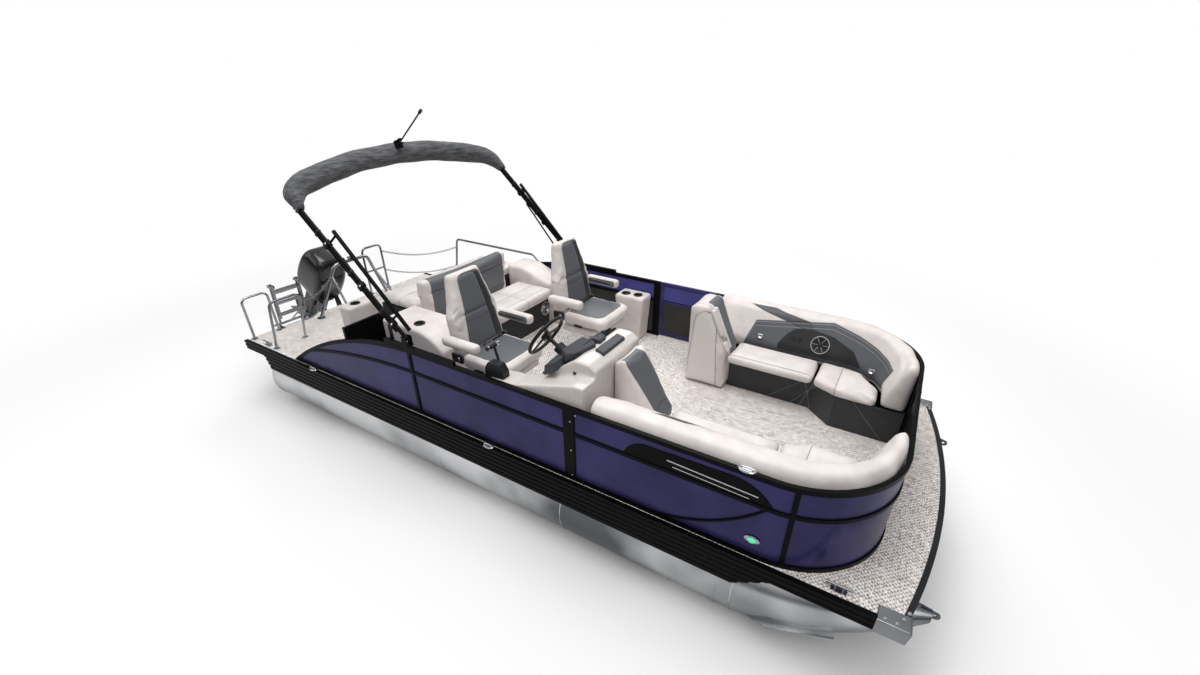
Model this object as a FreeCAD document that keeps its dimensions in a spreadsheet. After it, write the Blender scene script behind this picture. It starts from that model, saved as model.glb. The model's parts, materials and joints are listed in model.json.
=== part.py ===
import FreeCAD, Part
import Sketcher
import math
import os

V = FreeCAD.Vector
doc = FreeCAD.newDocument("pontoon_boat")

# Driving dimensions in millimetres and degrees. X runs forward from the deck's aft edge,
# Y to port, and Z up from the underside of the centre keel.
DIMENSIONS = [
    ("tube_diameter", 635.0), ("tube_aft", 290.0),
    ("nose_length", 1200.0), ("nose_lift", 585.0), ("keel_height", 8.0), ("keel_width", 50.0),
    ("weld_bead", 4.0), ("strake_size", 70.0), ("fin_width", 85.0), ("fin_thick", 6.0),
    ("eye_plate", 10.0), ("eye_hole", 20.0), ("centre_aft", -60.0),
    ("cross_height", 85.0), ("cross_width", 45.0), ("cross_wall", 4.0), ("cross_pitch", 406.0),
    ("deck_length", 6540.0), ("deck_width", 2524.0), ("deck_thick", 22.0), ("bow_bulge", 160.0),
    ("skirt_height", 240.0), ("skirt_thick", 26.0), ("rail_height", 90.0), ("rib_depth", 7.0),
    ("rib_height", 22.0), ("bow_rail_thick", 34.0),
    ("fence_height", 641.0), ("fence_thick", 28.0), ("fence_corner", 650.0), ("rail_width", 34.0),
    ("mid_rail_height", 422.0), ("mid_rail_width", 26.0), ("panel_thick", 8.0), ("post_narrow", 30.0),
    ("wide_post_width", 90.0), ("port_post_width", 80.0), ("port_gate_width", 600.0), ("inset_height", 150.0),
    ("bow_gate_width", 760.0), ("gate_gap", 7.0), ("gate_thick", 26.0), ("gate_lift", 30.0),
    ("stern_gate_width", 400.0), ("stern_gate_height", 600.0),
    ("stainless_radius", 13.0), ("stern_rail_height", 610.0), ("corner_rail_height", 470.0),
    ("tow_height", 610.0), ("tow_half", 220.0), ("tow_foot", 480.0), ("tow_x", 290.0), ("chain_radius", 4.0),
    ("console_height", 860.0), ("wheel_radius", 178.0), ("wheel_rim", 14.0), ("wheel_height", 800.0),
    ("chair_height", 540.0), ("chair_width", 570.0), ("chair_depth", 550.0), ("chair_back_height", 720.0),
    ("chair_back_thick", 130.0), ("chair_arm_height", 190.0), ("chair_arm_width", 88.0),
    ("pedestal_radius", 60.0), ("seat_height", 380.0), ("seat_thick", 90.0), ("wall_thick", 20.0),
    ("bolster_top", 715.0), ("tower_depth", 390.0), ("tower_height", 800.0), ("bench_height", 450.0),
    ("bench_thick", 120.0), ("bench_back_top", 850.0), ("sunpad_top", 560.0), ("sunpad_thick", 110.0),
    ("cup_radius", 40.0), ("cup_depth", 70.0), ("pod_height", 500.0), ("lid_hinge", 5.0),
    ("bimini_pivot_z", 725.0), ("bimini_angle", 42.0),
    ("bimini_rise", 1752.0), ("bimini_tube", 17.0), ("boot_radius", 105.0),
    ("strut_drop", 665.0), ("mast_length", 430.0), ("mast_lean", 10.0),
    ("motor_pivot_x", -440.0), ("motor_pivot_z", 700.0), ("motor_tilt", 39.0), ("motor_leg", 800.0),
    ("cowl_length", 460.0), ("cowl_width", 420.0), ("cowl_height", 600.0), ("prop_radius", 185.0),
    ("pod_width", 520.0), ("pod_top", 570.0), ("transom_x", -400.0),
    ("mid_rail_radius", 6400.0), ("swoosh_radius", 1120.0),
    ("casting_length", 110.0), ("cleat_aft", 330.0),
    ("knuckle_radius", 8.0), ("knuckle_length", 40.0),
]

# Places along and across the deck, in mm on a deck of the drawn size, kept in the sheet as shares of it
DRAWN_LENGTH = 6540.0
DRAWN_WIDTH = 2524.0
PLACES_ALONG = [
    ("nose_start", 5530.0), ("skirt_end", 5860.0), ("skirt_start", 400.0), ("fence_aft", 885.0),
    ("fence_swoop", 2015.0), ("fence_front", 6400.0), ("aft_divider", 2780.0), ("wide_post", 4365.0),
    ("bow_divider", 5890.0), ("port_post", 3830.0), ("inset_start", 4790.0), ("inset_end", 5790.0),
    ("stern_gate_x", 1890.0), ("console_aft", 3990.0), ("console_front", 4470.0), ("wing_aft", 3565.0),
    ("wheel_x", 3790.0), ("helm_x", 3230.0), ("mate_x", 3440.0), ("lounge_start", 4890.0),
    ("lounge_joint", 5650.0), ("lounge_end", 6170.0), ("bolster_start", 4600.0), ("tower_x", 4500.0),
    ("bench_front", 2680.0), ("bench_back_x", 2110.0), ("sunpad_aft", 1350.0), ("bimini_pivot_x", 2770.0),
    ("swoosh_start", 4900.0), ("cleat_bow", 6220.0),
]
PLACES_ACROSS = [
    ("tube_spread", 1880.0), ("fence_width", 2480.0), ("console_inboard", 410.0), ("helm_y", 700.0),
    ("mate_y", 450.0), ("lounge_inner", 490.0), ("base_inner", 620.0), ("lounge_back_y", 850.0),
    ("bolster_gate", 425.0), ("bench_port", 870.0), ("bench_starboard", 480.0), ("sunpad_port", 1120.0),
    ("bimini_half", 1215.0),
]

sheet = doc.addObject("Spreadsheet::Sheet", "sizes")
rows = list(DIMENSIONS)
rows += [(name, value / DRAWN_LENGTH) for name, value in PLACES_ALONG]
rows += [(name, value / DRAWN_WIDTH) for name, value in PLACES_ACROSS]
for row, (name, value) in enumerate(rows, start=1):
    sheet.set(f"A{row}", name)
    sheet.set(f"B{row}", repr(value))
    sheet.setAlias(f"B{row}", name)
doc.recompute()


class Size:
    """A dimension that carries both its number and the expression that binds to the sheet."""

    def __init__(self, text, value):
        self.text = text
        self.value = float(value)

    @staticmethod
    def of(other):
        return other if isinstance(other, Size) else Size(repr(float(other)), other)

    def __add__(self, other):
        other = Size.of(other)
        return Size(f"({self.text} + {other.text})", self.value + other.value)

    def __sub__(self, other):
        other = Size.of(other)
        return Size(f"({self.text} - {other.text})", self.value - other.value)

    def __mul__(self, other):
        other = Size.of(other)
        return Size(f"({self.text} * {other.text})", self.value * other.value)

    def __truediv__(self, other):
        other = Size.of(other)
        return Size(f"({self.text} / {other.text})", self.value / other.value)

    def __neg__(self):
        return Size(f"(-1 * {self.text})", -self.value)

    def __radd__(self, other):
        return Size.of(other) + self

    def __rsub__(self, other):
        return Size.of(other) - self

    def __rmul__(self, other):
        return Size.of(other) * self

    def __float__(self):
        return self.value


WHOLES = {name: "deck_length" for name, place in PLACES_ALONG}
WHOLES.update({name: "deck_width" for name, place in PLACES_ACROSS})


def cell(name):
    """A named size, or a named place as its share of the deck's length or width."""
    size = Size(f"sizes.{name}", sheet.get(name))
    return size * Size(f"sizes.{WHOLES[name]}", sheet.get(WHOLES[name])) if name in WHOLES else size


def lengthwise(place):
    """A lesser place along the deck, drawn on a deck of the drawn length."""
    return place * float(sheet.get("deck_length")) / DRAWN_LENGTH


def crosswise(place):
    """A lesser place across the deck, drawn on a deck of the drawn width."""
    return place * float(sheet.get("deck_width")) / DRAWN_WIDTH


def number(value):
    return float(value)


nodes = []


def node(label, obj):
    obj.Label = label
    nodes.append(obj)
    return obj


def bind(obj, prop, value):
    value = Size.of(value)
    obj.setExpression(prop, value.text)


# Shapes made from primitives whose sizes follow the sheet

def box(name, x0, x1, y0, y1, z0, z1):
    x0, x1, y0, y1, z0, z1 = (Size.of(v) for v in (x0, x1, y0, y1, z0, z1))
    made = doc.addObject("Part::Box", name)
    bind(made, "Length", x1 - x0)
    bind(made, "Width", y1 - y0)
    bind(made, "Height", z1 - z0)
    bind(made, ".Placement.Base.x", x0)
    bind(made, ".Placement.Base.y", y0)
    bind(made, ".Placement.Base.z", z0)
    return made


def post(name, x, y, z0, z1, radius):
    made = doc.addObject("Part::Cylinder", name)
    bind(made, "Radius", radius)
    bind(made, "Height", Size.of(z1) - z0)
    bind(made, ".Placement.Base.x", x)
    bind(made, ".Placement.Base.y", y)
    bind(made, ".Placement.Base.z", z0)
    return made


def fuse(name, parts):
    made = doc.addObject("Part::MultiFuse", name)
    made.Shapes = parts
    return made


def cut(name, base, tool):
    made = doc.addObject("Part::Cut", name)
    made.Base = base
    made.Tool = tool
    return made


def compound(name, parts):
    made = doc.addObject("Part::Compound", name)
    made.Links = parts
    return made


def solid(name, shape):
    made = doc.addObject("Part::Feature", name)
    made.Shape = shape
    return made


# Outlines and bodies made from sketches

def origin_plane(body, role):
    return next(f for f in body.Origin.OriginFeatures if f.Role == role)


def outline(body, name, plane, points, offset=0.0):
    """A closed loop. A point is (x, y), and (x, y, radius) ends an arc of that radius."""
    sketch = body.newObject("Sketcher::SketchObject", name)
    sketch.AttachmentSupport = [(origin_plane(body, plane), "")]
    sketch.MapMode = "FlatFace"
    bind(sketch, ".AttachmentOffset.Base.z", offset)
    count = len(points)
    for i, end in enumerate(points):
        start = points[i - 1]
        a = V(number(start[0]), number(start[1]), 0)
        b = V(number(end[0]), number(end[1]), 0)
        if len(end) == 3:
            radius = abs(number(end[2]))
            middle = (a + b) / 2
            chord = b - a
            side = V(chord.y, -chord.x, 0).normalize() * (1 if number(end[2]) > 0 else -1)
            sagitta = radius - math.sqrt(max(radius ** 2 - (chord.Length / 2) ** 2, 0.0))
            arc = Part.Arc(a, middle + side * sagitta, b)
            sketch.addGeometry(arc, False)
        else:
            sketch.addGeometry(Part.LineSegment(a, b), False)
    ends = []
    for i, end in enumerate(points):
        curve = sketch.Geometry[i]
        b = V(number(end[0]), number(end[1]), 0)
        at_end = (curve.EndPoint - b).Length < (curve.StartPoint - b).Length
        ends.append((1, 2) if at_end else (2, 1))
    for i in range(count):
        after = (i + 1) % count
        sketch.addConstraint(Sketcher.Constraint("Coincident", i, ends[i][1], after, ends[after][0]))
    for i, end in enumerate(points):
        for axis, kind in ((0, "DistanceX"), (1, "DistanceY")):
            value = Size.of(end[axis])
            index = sketch.addConstraint(
                Sketcher.Constraint(kind, -1, 1, i, ends[i][1], value.value))
            sketch.setExpression(f"Constraints[{index}]", value.text)
        if len(end) == 3:
            radius = Size.of(end[2])
            text = radius.text if radius.value > 0 else f"(-1 * {radius.text})"
            index = sketch.addConstraint(Sketcher.Constraint("Radius", i, abs(radius.value)))
            sketch.setExpression(f"Constraints[{index}]", text)
    return sketch


def pad(name, plane, points, offset, length, reverse=False):
    body = doc.addObject("PartDesign::Body", name)
    sketch = outline(body, name + "_outline", plane, points, offset)
    made = body.newObject("PartDesign::Pad", name + "_pad")
    made.Profile = sketch
    made.Reversed = reverse
    bind(made, "Length", length)
    sketch.Visibility = False
    return body


def side_pad(name, points, y0, y1):
    """An outline in X and Z, padded from y0 to y1."""
    return pad(name, "XZ_Plane", points, -Size.of(y1), Size.of(y1) - y0)


def plan_pad(name, points, z0, z1):
    """An outline in X and Y, padded from z0 to z1."""
    return pad(name, "XY_Plane", points, z0, Size.of(z1) - z0)


def middle_of(edge):
    return edge.valueAt((edge.FirstParameter + edge.LastParameter) / 2)


# Shapes worked out from the sheet with solid functions, for swept and lofted forms

def ring(centre, normal, radius):
    return Part.Wire([Part.Circle(centre, normal, radius).toShape()])


def rounded_path(points, bend):
    """Straight runs joined by tangent arcs of one radius."""
    edges = []
    start = points[0]
    for i in range(1, len(points) - 1):
        corner = points[i]
        back = (points[i - 1] - corner).normalize()
        ahead = (points[i + 1] - corner).normalize()
        turn = math.pi - back.getAngle(ahead)
        reach = bend * math.tan(turn / 2)
        first = corner + back * reach
        last = corner + ahead * reach
        inward = (back + ahead).normalize()
        middle = corner + inward * (bend / math.cos(turn / 2) - bend)
        edges.append(Part.LineSegment(start, first).toShape())
        edges.append(Part.Arc(first, middle, last).toShape())
        start = last
    edges.append(Part.LineSegment(start, points[-1]).toShape())
    return Part.Wire(edges)


def tube_along(points, radius, bend=60.0):
    wire = rounded_path(points, bend) if len(points) > 2 else Part.Wire(
        [Part.LineSegment(points[0], points[1]).toShape()])
    direction = points[1] - points[0]
    return wire.makePipeShell([ring(points[0], direction, radius)], True, False)


def block(x0, x1, y0, y1, z0, z1):
    x0, x1, y0, y1, z0, z1 = (float(v) for v in (x0, x1, y0, y1, z0, z1))
    return Part.makeBox(x1 - x0, y1 - y0, z1 - z0, V(x0, y0, z0))


def prism(points, direction):
    wire = Part.makePolygon([V(*p) for p in points + [points[0]]])
    return Part.Face(wire).extrude(direction)


# Levels that most pieces share
tube_radius = cell("tube_diameter") / 2
tube_y = cell("tube_spread") / 2
tube_z = cell("keel_height") + tube_radius
cross_z = cell("keel_height") + cell("tube_diameter")
deck_under = cross_z + cell("cross_height")
deck = deck_under + cell("deck_thick")
deck_half = cell("deck_width") / 2
deck_front = cell("deck_length") + cell("bow_bulge")
fence_half = cell("fence_width") / 2
fence_inner = fence_half - cell("fence_thick")
fence_top = deck + cell("fence_height")
bow_radius = (deck_half * deck_half / cell("bow_bulge") + cell("bow_bulge")) / 2
tick = 0.3


# Outlines in the side view, for solids cut out of the fence and for shaped boxes

def side_shape(points, y0, y1):
    """Points are (x, z), or (mid x, mid z, x, z) for an arc that ends at the last pair."""
    start = V(points[0][0], y0, points[0][1])
    edges = []
    for p in points[1:] + [points[0]]:
        end = V(p[-2], y0, p[-1])
        if len(p) == 4:
            edges.append(Part.Arc(start, V(p[0], y0, p[1]), end).toShape())
        elif (end - start).Length > 1e-6:
            edges.append(Part.LineSegment(start, end).toShape())
        start = end
    return Part.Face(Part.Wire(edges)).extrude(V(0, y1 - y0, 0))


def plan_shape(points, z0, z1):
    """Points are (x, y), or (mid x, mid y, x, y) for an arc that ends at the last pair."""
    start = V(points[0][0], points[0][1], z0)
    edges = []
    for p in points[1:] + [points[0]]:
        end = V(p[-2], p[-1], z0)
        if len(p) == 4:
            edges.append(Part.Arc(start, V(p[0], p[1], z0), end).toShape())
        elif (end - start).Length > 1e-6:
            edges.append(Part.LineSegment(start, end).toShape())
        start = end
    return Part.Face(Part.Wire(edges)).extrude(V(0, 0, z1 - z0))


# Pontoon tubes: a rolled cylinder with weld beads, a keel and an upswept nose cone

def pontoon(y, aft, strake_sides, fin_side):
    radius = number(tube_radius)
    z = number(tube_z)
    start = number(cell("nose_start"))
    length = number(cell("nose_length"))
    tip_z = number(cell("nose_lift"))
    bead = number(cell("weld_bead"))
    barrel = Part.makeCylinder(radius, start - aft, V(aft, y, z), V(1, 0, 0))
    stations = [(0.0, 1.0, 0.0), (0.3, 0.93, 0.05), (0.6, 0.70, 0.27), (0.85, 0.38, 0.62), (1.0, 0.13, 0.93)]
    rings = [ring(V(start + share * length, y, z + (tip_z - z) * lift), V(1, 0, 0), radius * size)
             for share, size, lift in stations]
    nose = Part.makeLoft(rings, True, False)
    keel_half = number(cell("keel_width")) / 2
    keel = block(aft + bead, start + 0.2 * length, y - keel_half, y + keel_half,
                 0, number(cell("keel_height")) + bead)
    shape = barrel.fuse([nose, keel])
    band_width = 6 * bead
    for x in (aft, (aft + start) / 2, start - band_width):
        shape = shape.fuse(Part.makeCylinder(radius + bead, band_width, V(x, y, z), V(1, 0, 0)))
    tip_x = start + length
    plate = number(cell("eye_plate")) / 2
    hole_radius = number(cell("eye_hole")) / 2
    eye = side_shape([(tip_x - 12 * plate, tip_z - 9 * plate), (tip_x + 4 * plate, tip_z - 5 * plate),
                      (tip_x + 9 * plate, tip_z, tip_x + 4 * plate, tip_z + 5 * plate),
                      (tip_x - 12 * plate, tip_z + 9 * plate)], y - plate, y + plate)
    eye_x = tip_x + 4 * plate - hole_radius / 2
    hole = Part.makeCylinder(hole_radius, 4 * plate, V(eye_x, y - 2 * plate, tip_z), V(0, 1, 0))
    shape = shape.fuse(eye).cut(hole)
    size = number(cell("strake_size"))
    for side in strake_sides:
        root = radius * 0.80
        drop = radius * 0.60
        strake = prism([(aft + size, y + side * (root - bead), z - drop + bead),
                        (aft + size, y + side * (root + size * 0.75), z - drop - size * 0.35),
                        (aft + size, y + side * (root - 5 * bead), z - drop - size * 0.45)],
                       V(start - aft - 2 * size, 0, 0))
        shape = shape.fuse(strake)
    if fin_side:
        width = number(cell("fin_width"))
        rise = V(0, 0, number(cell("fin_thick")))
        root_aft = (start + 0.09 * length, y + fin_side * radius * 0.78, z - radius * 0.50)
        root_fore = (start + 0.60 * length, y + fin_side * radius * 0.52, z - radius * 0.02)
        tip_fore = (start + 0.63 * length, y + fin_side * (radius * 0.52 + width), z - radius * 0.06)
        tip_aft = (start + 0.30 * length, y + fin_side * (radius * 0.72 + width), z - radius * 0.40)
        shape = shape.fuse(prism([root_aft, root_fore, tip_fore], rise))
        shape = shape.fuse(prism([root_aft, tip_fore, tip_aft], rise))
    return shape


aft_x = number(cell("tube_aft"))
node("tube_starboard", solid("tube_starboard", pontoon(-number(tube_y), aft_x, (1,), -1)))
node("tube_port", solid("tube_port", pontoon(number(tube_y), aft_x, (-1,), 1)))
node("tube_centre", solid("tube_centre", pontoon(0.0, number(cell("centre_aft")), (-1, 1), 0)))

# Crossmembers: C sections from side to side, seated on the tubes
members = []
member_count = int((number(cell("deck_length")) - 200) // number(cell("cross_pitch"))) + 1
for i in range(member_count):
    x = 120.0 + i * cell("cross_pitch")
    outer = box(f"member_{i}", x, x + cell("cross_width"), -deck_half, deck_half, cross_z, deck_under)
    slot = box(f"member_slot_{i}", x + cell("cross_wall"), x + cell("cross_width") * 1.2,
               -deck_half * 1.01, deck_half * 1.01, cross_z + cell("cross_wall"),
               deck_under - cell("cross_wall"))
    members.append(cut(f"member_cut_{i}", outer, slot))
node("crossmembers", compound("crossmembers", members))

# Deck: one board with an arched bow edge
deck_board = plan_pad("deck_board", [
    (0, -deck_half), (cell("deck_length"), -deck_half), (cell("deck_length"), deck_half, bow_radius),
    (0, deck_half)], deck_under, deck)
node("deck", deck_board)

# Motor pod: a welded box that carries the transom behind the centre tube
pod_half = cell("pod_width") / 2
node("motor_pod", side_pad("motor_pod", [
    (cell("centre_aft"), cell("pod_top")), (cell("transom_x"), cell("pod_top")),
    (cell("transom_x"), cell("pod_top") * 0.55), (cell("centre_aft"), cell("pod_top") * 0.18)],
    -pod_half, pod_half))

# Side rails: a ribbed skirt along each side, thin over the swim deck and at the bow
skirt_out = deck_half + cell("skirt_thick")
rail_bottom = deck - cell("rail_height")
skirt_bottom = deck - cell("skirt_height")
lip = 6.0


def ribbed_profile():
    """Section of the skirt, from the deck's edge round the top lip and down the ribbed face."""
    inner = number(deck_half)
    outer = number(skirt_out)
    top = number(deck) + lip
    bottom = number(skirt_bottom)
    depth = number(cell("rib_depth"))
    height = number(cell("rib_height"))
    web = outer - 1.6 * depth
    points = [(inner, number(deck_under)), (inner, number(deck)), (inner - 2 * lip, number(deck)),
              (inner - 2 * lip, top), (outer, top)]
    z = top
    for _ in range(int((top - bottom) // (2 * height))):
        z -= height
        points += [(outer, z), (outer - depth, z - depth / 2)]
        z -= height
        points += [(outer - depth, z + depth / 2), (outer, z)]
    points += [(outer, bottom), (web, bottom), (web, number(deck_under))]
    return points


def side_rail(side):
    start = number(cell("skirt_start"))
    end = number(cell("skirt_end"))
    tip = number(cell("deck_length"))
    bottom = number(rail_bottom)
    low = number(skirt_bottom) - lip
    reach = 2 * number(deck_half)
    section = [(0.0, side * y, z) for y, z in ribbed_profile()]
    whole = prism(section, V(tip, 0, 0))
    keep_rail = block(-lip, tip + lip, -reach, reach, bottom, number(deck) + 10 * lip)
    keep_skirt = side_shape([(start, low), (end - number(cell("skirt_height")), low), (end, bottom + 1),
                             (start - 10 * lip, bottom + 1)], -reach, reach)
    return whole.common(keep_rail.fuse(keep_skirt))


# Deck fittings: castings round the two bow corners, cleats and the ladder lugs
casting_length = number(cell("casting_length"))
casting_half = number(skirt_out) + lip
casting_x = number(cell("deck_length"))
reach = 2 * casting_half
casting_low = number(rail_bottom) - lip
casting_high = number(deck) + 2 * lip
casting_block = side_shape([
    (casting_x - casting_length, casting_low), (casting_x + 0.5 * casting_length, casting_low),
    (casting_x + 0.62 * casting_length, number(deck)), (casting_x + 0.5 * casting_length, casting_high),
    (casting_x - casting_length, casting_high)], -casting_half, casting_half)
casting_block = casting_block.cut(block(0, 2 * casting_x, -casting_half + casting_length,
                                        casting_half - casting_length, 0, 2 * number(deck)))
casting_slot = plan_shape([
    (casting_x - 2 * casting_length, -casting_half + 3 * lip), (casting_x, -casting_half + 3 * lip),
    (casting_x + 0.25 * casting_length, -casting_half + casting_length + lip),
    (casting_x + 0.25 * casting_length, casting_half - casting_length - lip),
    (casting_x, casting_half - 3 * lip), (casting_x - 2 * casting_length, casting_half - 3 * lip)],
    number(deck_under), number(deck))
castings = casting_block.cut(casting_slot)
rails = [side_rail(side).cut(casting_block) for side in (-1, 1)]
node("side_rails", solid("side_rails", Part.makeCompound(rails)))

# Bow rail: a flat strip bent along the arched edge of the deck
arc_centre = number(deck_front) - number(bow_radius)
strip_height = number(cell("rail_height"))
outer_arc = Part.makeCylinder(number(bow_radius) + number(cell("bow_rail_thick")), strip_height,
                              V(arc_centre, 0, number(rail_bottom) + lip))
inner_arc = Part.makeCylinder(number(bow_radius), strip_height, V(arc_centre, 0, number(rail_bottom) + lip))
strip = outer_arc.cut(inner_arc).common(block(casting_x - casting_length, 2 * casting_x, -casting_half,
                                              casting_half, 0, 2 * number(deck)))
strip = strip.cut(casting_block)
node("bow_rail", solid("bow_rail", strip))
doc.recompute()
fittings = [castings.cut(deck_board.Shape)]

# A cleat has an oval base, two feet and a horn bar

def cleat(x, y, z, turn):
    base = Part.makeCylinder(22, 5, V(0, 0, 0))
    base = base.fuse(Part.makeBox(90, 36, 5, V(-45, -18, 0)))
    feet = [Part.makeCylinder(8, 30, V(offset, 0, 5)) for offset in (-22, 22)]
    horn = Part.makeCylinder(8, 150, V(-75, 0, 36), V(1, 0, 0))
    made = base.fuse(feet + [horn])
    made.rotate(V(0, 0, 0), V(0, 0, 1), turn)
    made.translate(V(x, y, z))
    return made


cleat_y = number(deck_half) - 60
for side in (-1, 1):
    for x in (number(cell("cleat_aft")), number(cell("cleat_bow"))):
        fittings.append(cleat(x, side * cleat_y, number(deck), 0))

# Fence: black frames and coloured panels round the deck, swooping down to the deck aft
fence_out = number(fence_half)
fence_in = number(fence_inner)
corner = number(cell("fence_corner"))
front = number(cell("fence_front"))
deck_z = number(deck)
top_z = number(fence_top)
corner_x = front - corner
corner_y = fence_out - corner
swoop = number(cell("fence_swoop"))
height = number(cell("fence_height"))
swoop_radius = (swoop ** 2 + height ** 2) / (2 * height)
swoop_x = number(cell("fence_aft")) + swoop
rail = number(cell("rail_width"))
mid = number(cell("mid_rail_width"))
mid_z = deck_z + number(cell("mid_rail_height"))


def fence_plan(offset, z0, z1, side):
    """The ground inside the fence's outer face moved in by offset, from the centre line out."""
    bend = corner - offset
    slant = bend * math.sqrt(0.5)
    return plan_shape([
        (0, 0), (0, side * (fence_out - offset)), (corner_x, side * (fence_out - offset)),
        (corner_x + slant, side * (corner_y + slant), front - offset, side * corner_y),
        (front - offset, 0)], z0, z1)


def wall(outer, inner, side):
    return fence_plan(outer, deck_z, top_z, side).cut(fence_plan(inner, deck_z - 1, top_z + 1, side))


def under_curve(radius, level, drop):
    """What lies under a top line that is straight at a level and falls away aft in an arc."""
    reach = 2 * fence_out
    disc = Part.makeCylinder(radius - drop, reach, V(swoop_x, -reach / 2, level - radius), V(0, 1, 0))
    ahead = block(swoop_x, front + corner, -reach / 2, reach / 2, 0, level - drop)
    return disc.fuse(ahead).common(block(0, front + corner, -reach / 2, reach / 2, deck_z, level))


def strip_x(x0, x1, side):
    y0, y1 = sorted((side * fence_out * 1.1, side * corner_y))
    return block(x0, x1, y0, y1, deck_z - 1, top_z + 1)


gate_half = number(cell("bow_gate_width")) / 2
port_gate_x0 = number(cell("port_post")) + number(cell("port_post_width")) / 2
port_gate_x1 = port_gate_x0 + number(cell("port_gate_width")) + 2 * number(cell("gate_gap"))
narrow = number(cell("post_narrow"))


def fence(side):
    thick = number(cell("fence_thick"))
    panel = number(cell("panel_thick"))
    inset = (thick - panel) / 2
    shell = wall(0, thick, side).common(under_curve(swoop_radius, top_z, 0))
    skin = wall(inset, inset + panel, side).common(under_curve(swoop_radius, top_z, 0))
    reach = 2 * fence_out
    gate_clear = block(corner_x, front + corner, -gate_half, gate_half, 0, 2 * top_z)
    bands = [shell.cut(under_curve(swoop_radius, top_z, rail))]
    bands.append(shell.common(block(0, front + 1, -reach, reach, deck_z, deck_z + rail)))
    mid_radius = number(cell("mid_rail_radius"))
    mid_top = under_curve(mid_radius, mid_z + mid / 2, 0)
    mid_low = under_curve(mid_radius, mid_z + mid / 2, mid)
    bands.append(shell.common(mid_top.cut(mid_low)))
    posts = [(number(cell("aft_divider")), narrow), (number(cell("bow_divider")), narrow)]
    if side < 0:
        posts.append((number(cell("wide_post")), number(cell("wide_post_width"))))
    else:
        posts.append((number(cell("port_post")), number(cell("port_post_width"))))
        posts.append((port_gate_x1 + narrow / 2, narrow))
    for x, width in posts:
        bands.append(shell.common(strip_x(x - width / 2, x + width / 2, side)))
    end_post = block(front - 2 * thick, front + 1, min(side * gate_half, side * (gate_half + narrow)),
                     max(side * gate_half, side * (gate_half + narrow)), deck_z - 1, top_z + 1)
    bands.append(shell.common(end_post))
    start = number(cell("swoosh_start"))
    radius = number(cell("swoosh_radius"))
    centre = V(start, -reach, deck_z + rail / 2 + radius)
    arc = Part.makeCylinder(radius, reach * 2, centre, V(0, 1, 0))
    arc = arc.cut(Part.makeCylinder(radius - mid / 2, reach * 2, centre, V(0, 1, 0)))
    bands.append(shell.common(arc.common(block(start, front, -reach, reach, deck_z, mid_z))))
    x0 = number(cell("inset_start"))
    x1 = number(cell("inset_end"))
    long = x1 - x0
    rise = number(cell("inset_height"))
    shape = side_shape([(x0, mid_z),
                        (x0 + 0.06 * long, mid_z + 0.6 * rise, x0 + 0.22 * long, mid_z + 0.9 * rise),
                        (x1 - 0.28 * long, mid_z + rise),
                        (x1 - 0.11 * long, mid_z + 0.72 * rise, x1, mid_z)], -reach, reach)
    bands.append(wall(inset / 2, thick - inset / 2, side).common(shape))
    frame = bands[0].fuse(bands[1:]).cut(gate_clear)
    sheet_metal = skin.cut(gate_clear)
    if side > 0:
        opening = block(port_gate_x0, port_gate_x1, fence_in - 5, fence_out + 5, deck_z - 1, top_z + 1)
        frame = frame.cut(opening)
        sheet_metal = sheet_metal.cut(opening)
    sheet_metal = sheet_metal.cut(frame)
    return frame, sheet_metal


seam = 0.5
for side, word in ((-1, "starboard"), (1, "port")):
    frame, panels = fence(side)
    split = number(cell("bow_divider")) + narrow / 2
    aft_cut = block(0, split - seam, -2 * fence_out, 2 * fence_out, 0, 2 * top_z)
    fore_cut = block(split, 2 * front, -2 * fence_out, 2 * fence_out, 0, 2 * top_z)
    pieces = frame.common(aft_cut).Solids + frame.common(fore_cut).Solids
    node(f"fence_frame_{word}", solid(f"fence_frame_{word}", Part.makeCompound(pieces)))
    plates = [s for s in panels.Solids if s.Volume > 1000]
    node(f"fence_panels_{word}", solid(f"fence_panels_{word}", Part.makeCompound(plates)))


# Hinges: a fixed and a moving knuckle on one axis, each with a leaf to its own side

def knuckles(x, y, levels, fixed, moving):
    radius = number(cell("knuckle_radius"))
    length = number(cell("knuckle_length"))
    still = []
    turning = []
    for z in levels:
        for start, leaf, kept in ((z, fixed, still), (z + length + tick, moving, turning)):
            barrel = Part.makeCylinder(radius, length, V(x, y, start))
            x0, x1, y0, y1 = leaf
            kept.append(barrel.fuse(block(x0, x1, y0, y1, start, start + length)))
    return still, turning


def panel_gate(x0, x1, y0, y1, z0, z1, thin):
    """A gate frame with rails round a thinner panel. The thin side is x or y."""
    bar = rail
    outer = block(x0, x1, y0, y1, z0, z1)
    if thin == "y":
        hole = block(x0 + bar, x1 - bar, y0 - 1, y1 + 1, z0 + bar, z1 - bar)
        middle = (y0 + y1) / 2
        plate = block(x0 + bar, x1 - bar, middle - 4, middle + 4, z0 + bar, z1 - bar)
        band = block(x0, x1, y0, y1, mid_z - mid / 2, mid_z + mid / 2)
    else:
        hole = block(x0 - 1, x1 + 1, y0 + bar, y1 - bar, z0 + bar, z1 - bar)
        middle = (x0 + x1) / 2
        plate = block(middle - 4, middle + 4, y0 + bar, y1 - bar, z0 + bar, z1 - bar)
        band = block(x0, x1, y0, y1, mid_z - mid / 2, mid_z + mid / 2)
    return outer.cut(hole).fuse([plate, band])


gap = number(cell("gate_gap"))
lift = number(cell("gate_lift"))
slim = number(cell("gate_thick"))
knuckle_radius = number(cell("knuckle_radius"))
hinge_levels = [deck_z + 0.18 * height, deck_z + 0.74 * height]
middle_y = (fence_out + fence_in) / 2

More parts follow.
